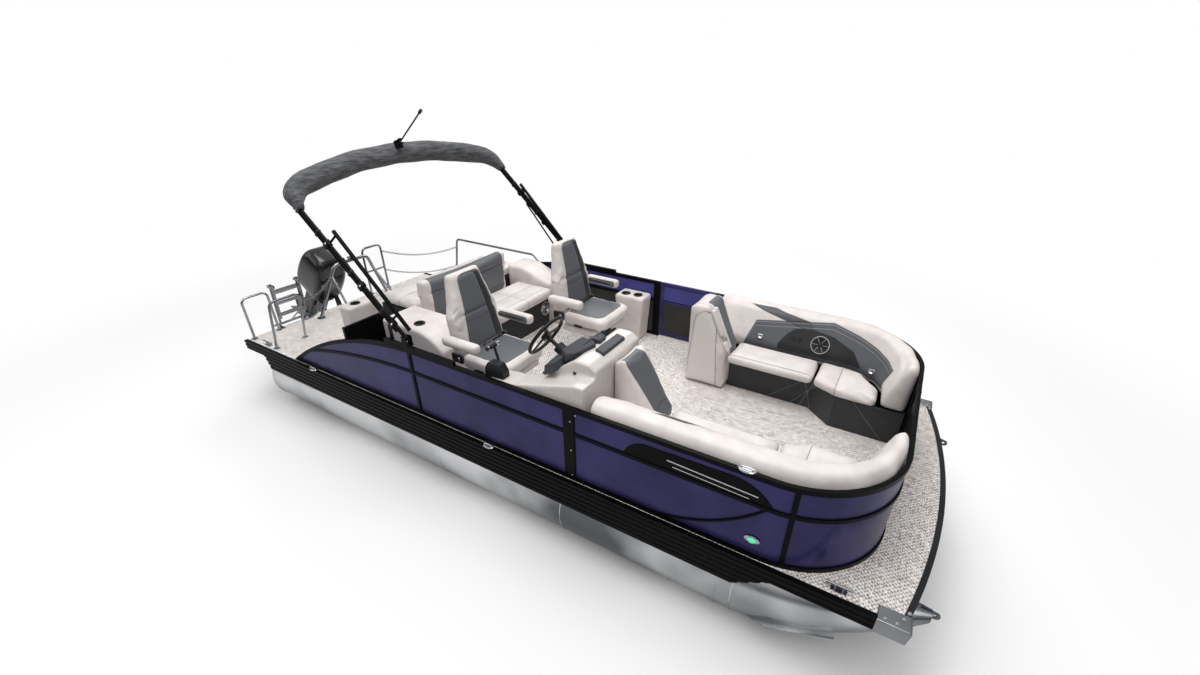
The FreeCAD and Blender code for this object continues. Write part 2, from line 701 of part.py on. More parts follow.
# Port side gate, hinged at its forward post, swings inboard
gate_x0 = port_gate_x0 + gap
gate_x1 = port_gate_x1 - gap
port_axis = (port_gate_x1 - gap / 2, fence_in - knuckle_radius - 1)
port_gate = panel_gate(gate_x0, gate_x1, middle_y - slim / 2, middle_y + slim / 2, deck_z + lift, top_z, "y")
still, turning = knuckles(port_axis[0], port_axis[1], hinge_levels,
                          (port_axis[0], port_axis[0] + gap / 2 + 12, fence_in - 4, fence_in - tick),
                          (port_axis[0] - gap / 2 - 12, port_axis[0], fence_in - 4, fence_in + 2))
hinge_fixed = list(still)
node("port_gate", solid("port_gate", port_gate.fuse(turning)))

# Bow gate, hinged at its port side, swings out over the bow deck
bow_middle = front - number(cell("fence_thick")) / 2
bow_axis = (front + knuckle_radius + 1, gate_half - gap / 2)
bow_gate = panel_gate(bow_middle - slim / 2, bow_middle + slim / 2, -gate_half + gap, gate_half - gap,
                      deck_z + lift, top_z, "x")
still, turning = knuckles(bow_axis[0], bow_axis[1], hinge_levels,
                          (front + tick, front + 4, bow_axis[1], bow_axis[1] + gap / 2 + 12),
                          (front - 2, front + 4, bow_axis[1] - gap / 2 - 12, bow_axis[1]))
hinge_fixed += still
node("bow_gate", solid("bow_gate", bow_gate.fuse(turning)))

# Stern gate across the aft walkway, hinged on a post beside the starboard fence, swings aft
stern_x = number(cell("stern_gate_x"))
stern_top = deck_z + number(cell("stern_gate_height"))
stern_y0 = -fence_in + tick + narrow
stern_y1 = stern_y0 + number(cell("stern_gate_width"))
stern_post = block(stern_x - narrow / 2, stern_x + narrow / 2, stern_y0 - narrow, stern_y0, deck_z, stern_top)
latch_post = block(stern_x - narrow / 2, stern_x + narrow / 2, stern_y1, stern_y1 + narrow, deck_z, stern_top)
stern_axis = (stern_x - narrow / 2 - knuckle_radius - 1, stern_y0 + gap / 2)
stern_gate = panel_gate(stern_x - slim / 2, stern_x + slim / 2, stern_y0 + gap, stern_y1 - gap,
                        deck_z + lift, stern_top, "x")
stern_levels = [deck_z + 0.2 * height, deck_z + 0.66 * height]
still, turning = knuckles(stern_axis[0], stern_axis[1], stern_levels,
                          (stern_axis[0], stern_x - slim / 2 + 1, stern_axis[1] - gap / 2 - 12, stern_axis[1]),
                          (stern_axis[0], stern_x - slim / 2 + 1, stern_axis[1], stern_axis[1] + gap / 2 + 12))
node("stern_gate", solid("stern_gate", stern_gate.fuse(turning)))
node("gate_posts", solid("gate_posts", Part.makeCompound([stern_post.fuse(still), latch_post] + hinge_fixed)))

# Stainless rails over the swim deck and along the port side
steel = number(cell("stainless_radius"))
rail_top = deck_z + number(cell("stern_rail_height"))
low_top = deck_z + number(cell("corner_rail_height"))
side_y = fence_out - steel * 3


def run(points, radius=steel, bend=60.0):
    return tube_along([V(*p) for p in points], radius, bend)


def foot(x, y, radius=32.0):
    return Part.makeCylinder(radius, 6, V(x, y, deck_z))


corner_in = crosswise(-930.0)
lean_in = crosswise(-880.0)
corner_rail = run([(60, -side_y, deck_z), (60, -side_y, low_top), (60, corner_in, low_top), (60, corner_in, deck_z)])
lean_top = deck_z + 0.92 * number(cell("stern_rail_height"))
lean_foot = (lengthwise(490.0), lean_in, deck_z)
lean_head = (lean_foot[0] + 160, lean_in, lean_top)
lean_frame = run([(lean_foot[0], -side_y, deck_z), (lean_head[0], -side_y, lean_top), lean_head, lean_foot])
lean_middle = (deck_z + lean_top) / 2
lean_bar = run([(lean_foot[0] + 80, -side_y, lean_middle), (lean_foot[0] + 80, lean_in, lean_middle)], steel * 0.8)
port_in, port_out = crosswise(345.0), crosswise(620.0)
bar_z = deck_z + 0.49 * number(cell("stern_rail_height"))
port_frame = run([(20, port_in, deck_z), (20, port_in, rail_top), (20, port_out, rail_top),
                  (20, port_out, deck_z)])
port_bar = run([(20, port_in, bar_z), (20, port_out, bar_z)], steel * 0.8)
middle_line = fence_out - number(cell("fence_thick")) / 2
side_top = top_z + 9
land_x = lengthwise(2210.0)
side_foot = (lengthwise(700.0), middle_line, deck_z)
side_head = (side_foot[0] + 130, middle_line, side_top)
land_z = top_z - swoop_radius + math.sqrt(swoop_radius ** 2 - (swoop_x - land_x) ** 2)
side_run = run([side_foot, side_head, (land_x - 90, middle_line, side_top),
                (land_x, middle_line, land_z - 2)])
side_run = side_run.cut(under_curve(swoop_radius, top_z, 0))
rails_made = [corner_rail.fuse([foot(60, -side_y), foot(60, corner_in)]),
              lean_frame.fuse([lean_bar, foot(lean_foot[0], -side_y), foot(lean_foot[0], lean_in)]),
              port_frame.fuse([port_bar, foot(20, port_in), foot(20, port_out)]),
              side_run.fuse(foot(side_foot[0], middle_line, 22.0))]
above_deck = block(-200, front, -2 * fence_out, 2 * fence_out, deck_z, 3 * deck_z)
rails_made = [r.common(above_deck) for r in rails_made]
node("stern_rails", solid("stern_rails", Part.makeCompound(rails_made)))

# Tow arch: a splayed hoop with two forward braces
tow_x = number(cell("tow_x"))
tow_top = deck_z + number(cell("tow_height"))
tow_half = number(cell("tow_half"))
tow_foot = number(cell("tow_foot"))
tow_aft = tow_x - 120
arch_radius = steel * 1.45
hoop = run([(tow_aft, -tow_foot, deck_z), (tow_x, -tow_half, tow_top), (tow_x, tow_half, tow_top),
            (tow_aft, tow_foot, deck_z)], arch_radius, 90.0)
arch = hoop.fuse([foot(tow_aft, side * tow_foot, 45.0) for side in (-1, 1)])
for side in (-1, 1):
    brace_y = side * (tow_half + 110)
    brace = run([(tow_x - 25, side * (tow_half + 45), tow_top - 130), (tow_x + 330, brace_y, deck_z)], steel)
    arch = arch.fuse([brace, foot(tow_x + 330, brace_y, 40.0)])
ball = Part.makeCylinder(24, 20, V(tow_x, 0, tow_top + arch_radius - 4))
ball = ball.fuse(Part.makeCylinder(36, 8, V(tow_x, 0, tow_top + arch_radius + 14)))
arch = arch.fuse(ball).common(block(-200, front, -2 * fence_out, 2 * fence_out, deck_z, 3 * deck_z))
node("tow_arch", solid("tow_arch", arch))

# Safety chains hang between the rails


def hung(a, b, sag):
    a, b = V(*a), V(*b)
    middle = (a + b) / 2 - V(0, 0, sag)
    path = Part.Wire([Part.Arc(a, middle, b).toShape()])
    start = path.Edges[0].tangentAt(path.Edges[0].FirstParameter)
    return path.makePipeShell([ring(a, start, number(cell("chain_radius")))], True, False)


def along(a, b, z):
    share = (z - a[2]) / (b[2] - a[2])
    return tuple(p + (q - p) * share for p, q in zip(a, b))


leg_top = (tow_x, -tow_half, tow_top)
leg_foot = (tow_aft, -tow_foot, deck_z)
hung_chains = [
    hung(along(leg_foot, leg_top, deck_z + 500), along(lean_foot, lean_head, deck_z + 470), 70),
    hung(along(leg_foot, leg_top, deck_z + 230), along(lean_foot, lean_head, deck_z + 230), 60),
    hung((20, port_out, deck_z + 520), along(side_foot, side_head, deck_z + 540), 80),
    hung((20, port_out, deck_z + 260), along(side_foot, side_head, deck_z + 270), 70),
]
posts_kept = [run([leg_foot, leg_top], arch_radius + tick), run([lean_foot, lean_head], steel + tick),
              run([(20, port_out, deck_z), (20, port_out, rail_top)], steel + tick),
              run([side_foot, side_head], steel + tick)]
chains = []
for chain in hung_chains:
    for kept in posts_kept:
        chain = chain.cut(kept)
    chains.append(max(chain.Solids, key=lambda s: s.Volume))
node("safety_chains", solid("safety_chains", Part.makeCompound(chains)))

# Boarding ladder: two sections stowed upright, hinged at the deck's aft edge
ladder_y1 = crosswise(-550.0)
ladder_y0 = ladder_y1 - 300
ladder_axis = (-38.0, deck_z + 15)
ladder_length = 500.0
fold_length = 390.0
lean = math.radians(5)
fold_axis = (ladder_axis[0] + ladder_length * math.sin(lean), ladder_axis[1] + ladder_length * math.cos(lean))
fold_gap = 44.0


def section(start, length, sign, steps, y0, y1):
    """Two side tubes and flat treads, standing up or hanging from a hinge line."""
    direction = V(math.sin(lean), 0, math.cos(lean)) * sign
    begin = V(start[0], 0, start[1])
    parts = []
    for y in (y0, y1):
        parts.append(Part.makeCylinder(steel, length, begin + V(0, y, 0), direction))
        parts.append(Part.makeSphere(steel, begin + V(0, y, 0)))
    for share in steps:
        at = begin + direction * (length * share)
        tread = block(-20, 20, y0, y1, -9, 9)
        tread.rotate(V(0, 0, 0), V(0, 1, 0), math.degrees(lean))
        tread.translate(at)
        parts.append(tread)
    return parts[0].fuse(parts[1:])


upper = section(ladder_axis, ladder_length, 1, (0.22, 0.52, 0.82), ladder_y0, ladder_y1)
pin_start = V(ladder_axis[0], ladder_y0 - 35, ladder_axis[1])
upper = upper.fuse(Part.makeCylinder(8, ladder_y1 - ladder_y0 + 70, pin_start, V(0, 1, 0)))
ear_plates = []
for y in (ladder_y0, ladder_y1):
    for shift in (-steel - 8, steel + 2):
        ear = block(-24, fold_gap + 14, y + shift, y + shift + 6, -16, 16)
        ear.rotate(V(0, 0, 0), V(0, 1, 0), math.degrees(lean))
        ear.translate(V(fold_axis[0], 0, fold_axis[1] - 20))
        ear_plates.append(ear)
turn_axis = V(fold_axis[0] + fold_gap * math.cos(lean), 0, fold_axis[1] - 20 - fold_gap * math.sin(lean))
bore = Part.makeCylinder(6.3, 1000, V(turn_axis.x, -1200, turn_axis.z), V(0, 1, 0))
link_z = fold_axis[1] - 20
links = [run([(fold_axis[0], y - steel - 8, link_z), (fold_axis[0], y + steel + 8, link_z)], 10)
         for y in (ladder_y0, ladder_y1)]
upper = upper.fuse(ear_plates + links).cut(bore)
node("ladder_upper", solid("ladder_upper", upper))
lower = section((turn_axis.x, turn_axis.z), fold_length, -1, (0.18, 0.52, 0.86), ladder_y0, ladder_y1)
lower = lower.fuse([Part.makeCylinder(6, 2 * steel + 18, V(turn_axis.x, y - steel - 9, turn_axis.z), V(0, 1, 0))
                    for y in (ladder_y0, ladder_y1)])
node("ladder_lower", solid("ladder_lower", lower))
lugs = []
for y0 in (ladder_y0 - steel - 17, ladder_y1 + steel + 5):
    lug = block(-62, -tick, y0, y0 + 12, deck_under.value, deck_z + 36).fuse(
        block(-10, 70, y0 - 14, y0 + 26, deck_z, deck_z + 6))
    lugs.append(lug.cut(Part.makeCylinder(8.3, 60, V(ladder_axis[0], y0 - 20, ladder_axis[1]), V(0, 1, 0))))
node("deck_fittings", solid("deck_fittings", Part.makeCompound(fittings + lugs)))

# Helm console: a moulded pedestal with a side wing along the fence
console_aft = cell("console_aft")
console_front = cell("console_front")
console_top = deck + cell("console_height")
console_in = -cell("console_inboard")
wall_gap = 7.0
console_body = side_pad("console_body", [
    (console_aft + 60, deck), (console_aft - 30, deck + 640), (console_front - 180, console_top + 20),
    (console_front - 70, console_top + 20), (console_front, console_top - 20), (console_front, deck)],
    crosswise(-1040.0), console_in)
wing_body = side_pad("wing_body", [
    (cell("wing_aft"), deck), (cell("wing_aft"), deck + 590), (cell("wing_aft") + 60, deck + 615),
    (cell("wing_aft") + 300, deck + 640), (console_front - 90, deck + 790), (console_front, deck + 790),
    (console_front, deck)],
    -(fence_inner - wall_gap), crosswise(-1020.0))
console_join = fuse("console_join", [console_body, wing_body])
doc.recompute()
console_lip = (number(console_aft) - 30, deck_z + 640)
console_high = (number(console_front) - 180, number(console_top) + 20)
slope = V(console_high[0] - console_lip[0], 0, console_high[1] - console_lip[1]).normalize()
out = V(-slope.z, 0, slope.x)
node("helm_console", console_join)

# Dash: instrument panel on the slope, wheel boss and throttle box
dash_y0, dash_y1 = crosswise(-1000.0), number(console_in) - 30
lip_point = V(console_lip[0], 0, console_lip[1])


def on_slope(distance, height, y):
    p = lip_point + slope * distance + out * height
    return V(p.x, y, p.z)


def slab(d0, d1, h0, h1, y0, y1):
    corners = [on_slope(d, h, y0) for d, h in ((d0, h0), (d1, h0), (d1, h1), (d0, h1))]
    return prism([tuple(c) for c in corners], V(0, y1 - y0, 0))


wheel_centre = V(number(cell("wheel_x")), -number(cell("helm_y")), deck_z + number(cell("wheel_height")))
wheel_normal = V(-math.cos(math.radians(30)), 0, math.sin(math.radians(30)))
shaft_radius = 16.0
slope_length = (V(console_high[0], 0, console_high[1]) - lip_point).Length
panel_part = slab(30, slope_length - 15, tick, 18, dash_y0, dash_y1)
screen = slab(120, slope_length - 40, 17, 34, crosswise(-600.0), dash_y1 - 25)
gauges = slab(190, slope_length - 40, 17, 46, crosswise(-820.0), crosswise(-620.0))
boss_end = wheel_centre - wheel_normal * 130
boss = Part.makeCylinder(46, 170, boss_end, -wheel_normal)
boss = boss.common(slab(-60, slope_length, 10, 400, dash_y0, dash_y1))
shaft_bore = Part.makeCylinder(shaft_radius + tick, 600, wheel_centre, -wheel_normal)
dash = panel_part.fuse([screen, gauges, boss]).cut(shaft_bore)
box_x = number(cell("wing_aft")) + 95
box_y = crosswise(-1110.0)
box_z = deck_z + 590
throttle_box = side_shape([(box_x - 85, box_z + tick), (box_x - 85, box_z + 90), (box_x - 50, box_z + 145),
                           (box_x + 55, box_z + 145), (box_x + 90, box_z + 90), (box_x + 90, box_z + tick)],
                          box_y - 70, box_y)
lever = run([(box_x, box_y + 9, box_z + 90), (box_x - 45, box_y + 9, box_z + 255)], 10).fuse(
    run([(box_x - 45, box_y - 65, box_z + 255), (box_x - 45, box_y + 30, box_z + 255)], 17))
throttle = throttle_box.fuse(lever).cut(console_join.Shape)
throttle = throttle.fuse(Part.makeCylinder(32, 20, V(box_x, box_y - 5, box_z + 90), V(0, 1, 0)))
throttle = throttle.cut(console_join.Shape)
throttle = max(throttle.Solids, key=lambda s: s.Volume)
node("dash", solid("dash", Part.makeCompound([dash, throttle])))

# Steering wheel on a raked shaft
rim = Part.makeTorus(number(cell("wheel_radius")), number(cell("wheel_rim")))
hub = Part.makeCylinder(42, 34, V(0, 0, -22))
spokes = []
for turn in (90, 210, 330):
    spoke = block(0, number(cell("wheel_radius")), -15, 15, -5, 5)
    spoke.rotate(V(0, 0, 0), V(0, 0, 1), turn)
    spokes.append(spoke)
shaft = Part.makeCylinder(shaft_radius, 205, V(0, 0, -225))
wheel = rim.fuse([hub, shaft] + spokes)
wheel.rotate(V(0, 0, 0), V(0, 1, 0), -60)
wheel.translate(wheel_centre)
node("steering_wheel", solid("steering_wheel", wheel))

# Captain's chairs: pedestal, seat, leaning back and two arms
seat_low = deck_z + 400
chair_top = deck_z + number(cell("chair_height"))
chair_width = number(cell("chair_width"))
chair_depth = number(cell("chair_depth"))
back_rise = number(cell("chair_back_height"))
back_thick = number(cell("chair_back_thick"))
back_lean = math.radians(9)


def cushion(shape, radius):
    """Rounds every edge, or as many as the shape allows."""
    for size in (radius, radius * 0.6, radius * 0.35):
        try:
            made = shape.makeFillet(size, shape.Edges)
            if made.isValid() and made.Volume > 0:
                return made
        except Exception:
            continue
    return shape


def chair(x, y, word):
    pedestal = Part.makeCylinder(150, 12, V(x, y, deck_z))
    pedestal = pedestal.fuse([Part.makeCylinder(number(cell("pedestal_radius")), 380, V(x, y, deck_z)),
                              Part.makeCone(60, 120, 40, V(x, y, deck_z + 347)),
                              Part.makeCylinder(120, 12.7, V(x, y, deck_z + 387))])
    half = chair_width / 2
    front = x - 200 + chair_depth
    seat = block(x - 150, front, y - half, y + half, seat_low + 30, chair_top)
    corners = [e for e in seat.Edges if middle_of(e).x > front - 1 and abs(middle_of(e).y - y) > half - 1]
    seat = cushion(seat.makeFillet(85, [e for e in corners if middle_of(e).z < chair_top - 1
                                        and middle_of(e).z > seat_low + 31]), 34)
    plate = block(x - 130, x + 180, y - 150, y + 150, seat_low, seat_low + 40)
    seat = seat.fuse(plate)
    low, high = 0.0, back_rise
    profile = [(0, low), (back_thick, low), (back_thick, high * 0.55), (back_thick * 0.8, high),
               (0.22 * back_thick, high)]
    back = side_shape(profile, -half + 8, half - 8)
    for side in (-1, 1):
        taper = prism([(-1, side * (half + 1), high * 0.42), (-1, side * (half + 1), high + 1),
                       (-1, side * (half - 105), high + 1), (-1, side * (half - 8), high * 0.42)],
                      V(back_thick + 2, 0, 0))
        back = back.cut(taper)
    back = cushion(back, 34)
    back.rotate(V(0, 0, 0), V(0, 1, 0), -math.degrees(back_lean))
    back.translate(V(x - 245, y, chair_top - 60))
    back = back.cut(seat_grown(x, y, half))
    arms = []
    for side in (-1, 1):
        y0 = y + side * (half + 5)
        y1 = y0 + side * number(cell("chair_arm_width"))
        level = chair_top + number(cell("chair_arm_height")) - 60
        arm = cushion(block(x - 235, x + 150, min(y0, y1), max(y0, y1), level - 14, level + 76), 30)
        inner = y + side * (half - 30)
        stay_y0, stay_y1 = sorted((inner, y0 + side * 20))
        stay = block(x - 215, x - 190, stay_y0, stay_y1, level + 12, level + 50)
        arms.append(arm.fuse(stay))
    joined = Part.makeCompound(arms).cut(back)
    node(word + "_seat", solid(word + "_seat", seat))
    node(word + "_back", solid(word + "_back", back))
    node(word + "_arms", solid(word + "_arms", joined))
    return pedestal


def seat_grown(x, y, half):
    return block(x - 150 - tick, x + 300, y - half - 1, y + half + 1, seat_low, chair_top + tick)


pedestals = [chair(number(cell("helm_x")), -number(cell("helm_y")), "helm"),
             chair(number(cell("mate_x")), number(cell("mate_y")), "mate")]
node("seat_pedestals", solid("seat_pedestals", Part.makeCompound(pedestals)))

# Rear seating: hollow base, bench, sunpad lid, arm pods with cup wells
wall_thick = number(cell("wall_thick"))
bench_front = number(cell("bench_front"))
bench_port = number(cell("bench_port"))
bench_starboard = number(cell("bench_starboard"))
bench_top = deck_z + number(cell("bench_height"))
bench_low = bench_top - number(cell("bench_thick"))
pad_top = deck_z + number(cell("sunpad_top"))
pad_low = pad_top - number(cell("sunpad_thick"))
pad_aft = number(cell("sunpad_aft"))
pad_port = number(cell("sunpad_port"))
pad_front = number(cell("bench_back_x")) - 125
pad_starboard = crosswise(-430.0)


def hinged_pad(pad, strip, at, along_axis):
    """Adds a lid's squared hinge edge, and the hinge rod that the lid turns on."""
    box = strip.BoundBox
    start = V(box.XMin, at.y, at.z) if along_axis.x else V(at.x, box.YMin, at.z)
    length = box.XLength if along_axis.x else box.YLength
    return pad.fuse([strip, Part.makeCylinder(number(cell("lid_hinge")), length, start, along_axis)])


def hollow(x0, x1, y0, y1, z0, z1):
    return block(x0, x1, y0, y1, z0, z1).cut(
        block(x0 + wall_thick, x1 - wall_thick, y0 + wall_thick, y1 - wall_thick, z0 + wall_thick, z1 + 1))


bench_base = hollow(pad_front + 15, bench_front - 80, -bench_starboard + 10, bench_port - 10, deck_z, bench_low)
pad_base = hollow(pad_aft + 20, pad_front, pad_starboard, pad_port - 10, deck_z, pad_low)
bridge = block(pad_front - 5, pad_front + 20, pad_starboard + 30, bench_port - 60, deck_z, bench_low - 20)
node("rear_base", solid("rear_base", pad_base.fuse([bench_base, bridge])))
bench = block(pad_front + 170, bench_front, -bench_starboard, bench_port, bench_low + tick, bench_top)
bench = cushion(bench, 34)
node("bench_seat", solid("bench_seat", bench))
back_x = number(cell("bench_back_x"))
back_top = deck_z + number(cell("bench_back_top"))
bench_back = side_shape([(pad_front + 20, bench_low + tick), (back_x - 60, back_top), (back_x + 60, back_top),
                         (pad_front + 165, bench_low + tick)], -bench_starboard - 20, bench_port - 170)
node("bench_back", solid("bench_back", cushion(bench_back, 28)))
sunpad = block(pad_aft, pad_front, pad_starboard - 10, pad_port, pad_low + tick, pad_top)
sunpad = hinged_pad(cushion(sunpad, 30), block(pad_front - 34, pad_front, pad_starboard + 30, pad_port - 40,
                                               pad_top - 34, pad_top), V(pad_front, 0, pad_top), V(0, 1, 0))
node("sunpad", solid("sunpad", sunpad))

cup_radius = number(cell("cup_radius"))
cup_depth = number(cell("cup_depth"))


def cup(x, y, top):
    return Part.makeCylinder(cup_radius, cup_depth + 60, V(x, y, top - cup_depth))


def pod(points, y0, y1, cups, radius=22.0):
    made = side_shape(points, y0, y1)
    upright = [e for e in made.Edges if middle_of(e).z > deck_z + 60]
    try:
        made = made.makeFillet(radius, upright)
    except Exception:
        made = side_shape(points, y0, y1)
    for x, y, top in cups:
        made = made.cut(cup(x, y, top))
    return made


inner_face = fence_in - wall_gap
pod_high = deck_z + number(cell("pod_height"))
arm_front = bench_front + 110
pod_aft = pad_front + 20
starboard_pod = pod([(pod_aft, deck_z), (pod_aft, deck_z + 600), (bench_front - 190, deck_z + 595),
                     (bench_front - 60, deck_z + 560), (bench_front + 40, deck_z + 500),
                     (arm_front, deck_z + 440), (arm_front, deck_z)], crosswise(-900.0), -bench_starboard - 25,
                    [(bench_front - 290, crosswise(-780.0), deck_z + 597)])
port_pod = pod([(pod_aft, deck_z), (pod_aft, deck_z + 610), (pod_aft + 240, deck_z + 600),
                (pod_aft + 380, deck_z + 545), (bench_front - 150, deck_z + 495),
                (bench_front + 20, deck_z + 480), (bench_front + 20, deck_z)], bench_port + 5, inner_face,
               [(bench_front - 80, crosswise(1050.0), deck_z + 488)])
rear_pod = pod([(pad_aft - 185, deck_z), (pad_aft - 185, pod_high), (pad_aft - 10, pod_high),
                (pad_aft - 10, deck_z)], crosswise(-800.0), pad_starboard - 20,
               [(pad_aft - 95, crosswise(-660.0), pod_high)])
pod_middle = number(cell("mate_x")) + 160
mate_pod = pod([(pod_middle - 130, deck_z), (pod_middle - 170, pod_high), (pod_middle + 175, pod_high),
                (pod_middle + 140, deck_z)],
               crosswise(975.0), inner_face, [(pod_middle - 70, crosswise(1060.0), pod_high),
                                             (pod_middle + 70, crosswise(1080.0), pod_high)])
node("seat_pods", solid("seat_pods", Part.makeCompound([starboard_pod, port_pod, rear_pod, mate_pod])))

# Bow lounges: hollow bases, hinged seat lids, fixed bow cushions and a wrapped bolster
seat_top = deck_z + number(cell("seat_height"))
lid_low = seat_top - number(cell("seat_thick"))
lounge_in = number(cell("lounge_inner"))
base_in = number(cell("base_inner"))
lounge_start = number(cell("lounge_start"))
lounge_joint = number(cell("lounge_joint"))
lounge_end = number(cell("lounge_end"))
lid_out = number(cell("lounge_back_y"))
tower_x = number(cell("tower_x"))
bolster_top = deck_z + number(cell("bolster_top"))
bolster_start = number(cell("bolster_start"))
bolster_end = number(cell("bolster_gate"))
skin_offset = number(cell("fence_thick")) + wall_gap
bow_in = crosswise(430.0)


def flip(points, side):
    return [tuple(v if i % 2 == 0 else side * v for i, v in enumerate(p)) for p in points]


def lounge_base(side):
    start = lounge_start if side > 0 else number(console_front) + 10
    wide = bolster_start if side > 0 else start
    far = 2 * front

    def ground(grow):
        return plan_shape(flip([
            (start + grow, base_in + grow), (lounge_joint - 10 + grow * 0.4, base_in + grow),
            (lounge_joint + 200 + grow * 0.4, bow_in + grow), (far, bow_in + grow), (far, 2 * fence_out),
            (wide + grow, 2 * fence_out), (wide + grow, lid_out + 10 + grow),
            (start + grow, lid_out + 10 + grow)], side), deck_z - 1, lid_low + 2)
    body = ground(0).common(fence_plan(skin_offset, deck_z, lid_low, side))
    inside = fence_plan(skin_offset + wall_thick, deck_z + wall_thick, lid_low + 1, side)
    cave = ground(wall_thick).common(inside)
    return max(body.cut(cave).Solids, key=lambda s: s.Volume)


for side, word in ((1, "port"), (-1, "starboard")):
    node(f"lounge_base_{word}", solid(f"lounge_base_{word}", lounge_base(side)))
    start = lounge_start + 5 if side > 0 else number(console_front) + 375
    y0, y1 = sorted((side * lounge_in, side * (lid_out - 5)))
    lid = cushion(block(start, lounge_joint - 5, y0, y1, lid_low + tick, seat_top), 26)
    edge = side * (lid_out - 5)
    strip_y0, strip_y1 = sorted((edge, edge - side * 30))
    lid = hinged_pad(lid, block(start + 30, lounge_joint - 35, strip_y0, strip_y1, seat_top - 30, seat_top),
                     V(0, edge, seat_top), V(1, 0, 0))
    node(f"lounge_seat_{word}", solid(f"lounge_seat_{word}", lid))

bow_pads = []
for side in (1, -1):
    pad_plan = plan_shape(flip([(lounge_joint + 5, lounge_in), (lounge_joint + 210, bow_in - 30),
                                (lounge_end - 15, bow_in - 30), (lounge_end - 15, crosswise(600.0)),
                                (lounge_end - 180, lid_out - 35), (lounge_joint + 110, lid_out - 5),
                                (lounge_joint + 5, lid_out - 5)], side), lid_low + tick, seat_top)
    bow_pads.append(cushion(pad_plan, 26))
node("bow_cushions", solid("bow_cushions", Part.makeCompound(bow_pads)))

# Bolsters: one padded backrest each side, lofted round the bow corner
side_depth = 385.0
front_depth = 225.0
low_edge = lid_low + tick


def bolster_section(depth, turn, side):
    """A section across the fence, at an angle round the bow corner, 0 abeam and 90 ahead."""
    crown = 0.61 * depth
    profile = [(skin_offset, low_edge), (skin_offset, bolster_top - 55),
               (skin_offset + 0.07 * depth, bolster_top - 10), (skin_offset + 0.20 * depth, bolster_top),
               (0.52 * depth, bolster_top - 15), (crown, bolster_top - 55), (depth, seat_top + 20),
               (depth, low_edge)]
    angle = math.radians(turn)
    points = []
    for offset, z in profile:
        reach = corner - offset
        points.append(V(corner_x + reach * math.sin(angle), side * (corner_y + reach * math.cos(angle)), z))
    return points


def shift(points, dx, dy):
    return [p + V(dx, dy, 0) for p in points]


def loft(sections):
    wires = [Part.makePolygon(s + [s[0]]) for s in sections]
    return Part.makeLoft(wires, True, True)


def bolster(side, start):
    abeam = bolster_section(side_depth, 0, side)
    ahead = bolster_section(front_depth, 90, side)
    pieces = [loft([shift(abeam, start - corner_x, 0), abeam])]
    turns = (0, 22.5, 45, 67.5, 90)
    depths = [side_depth + (front_depth - side_depth) * t / 90 for t in turns]
    arc = [bolster_section(d, t, side) for d, t in zip(depths, turns)]
    pieces.append(loft(arc))
    pieces.append(loft([ahead, shift(ahead, 0, side * (bolster_end - corner_y))]))
    return pieces[0].fuse(pieces[1:])


bolster_port = bolster(1, bolster_start)
bolster_starboard = bolster(-1, number(console_front) + 35)
node("bolsters", solid("bolsters", Part.makeCompound([bolster_port, bolster_starboard])))

# Port tower and starboard console backrest face forward over the lounges
tower_y0 = number(cell("lounge_inner"))
tower_end = tower_x + number(cell("tower_depth"))
tower_high = deck_z + number(cell("tower_height"))
tower = side_shape([(tower_x, deck_z), (tower_x, tower_high - 30), (tower_x + 60, tower_high),
                    (tower_x + 190, tower_high), (tower_end, seat_top + 10), (tower_end, deck_z)],
                   tower_y0, lid_out - 3)
tower = cushion(tower, 20).cut(bolster_port)
tower = max(tower.Solids, key=lambda s: s.Volume)
node("lounge_tower", solid("lounge_tower", tower))
rest_x = number(console_front) + 5
backrest = side_shape([(rest_x + 10, low_edge), (rest_x + 10, deck_z + 830), (rest_x + 90, deck_z + 860),
                       (rest_x + 355, seat_top + 10), (rest_x + 355, low_edge)], -lid_out + 3, -lounge_in)
backrest = cushion(backrest, 24).cut(bolster_starboard)
backrest = max(backrest.Solids, key=lambda s: s.Volume)
node("console_backrest", solid("console_backrest", backrest))

# Bimini: fence-top rails, folding main hoop, riding braces, struts and a stowed canvas boot
pivot = (number(cell("bimini_pivot_x")), deck_z + number(cell("bimini_pivot_z")))
bimini_half = number(cell("bimini_half"))
tube = number(cell("bimini_tube"))
fall = math.radians(number(cell("bimini_angle")))
u = V(-math.cos(fall), 0, math.sin(fall))
n = V(math.sin(fall), 0, math.cos(fall))
origin = V(pivot[0], 0, pivot[1])
crown_t = number(cell("bimini_rise"))
mast_fall = fall + math.radians(number(cell("mast_lean")))
mast_line = V(math.sin(mast_fall), 0, math.cos(mast_fall))
mast_hinge = V(-math.cos(mast_fall), 0, math.sin(mast_fall))


def at_frame(t, y, height=0.0):
    return origin + u * t + n * height + V(0, y, 0)


def hoop_wire(t0):
    arch = ((-1, 217), (-0.66, 102), (-0.345, 24), (0, 0), (0.345, 24), (0.66, 102), (1, 217))
    points = [at_frame(crown_t - drop, share * bimini_half) for share, drop in arch]
    return rounded_path([at_frame(t0, -bimini_half)] + points + [at_frame(t0, bimini_half)], 250.0)


def swept(wire, radius):
    first = wire.Edges[0]
    start = first.valueAt(first.FirstParameter)
    return wire.makePipeShell([ring(start, first.tangentAt(first.FirstParameter), radius)], True, False)


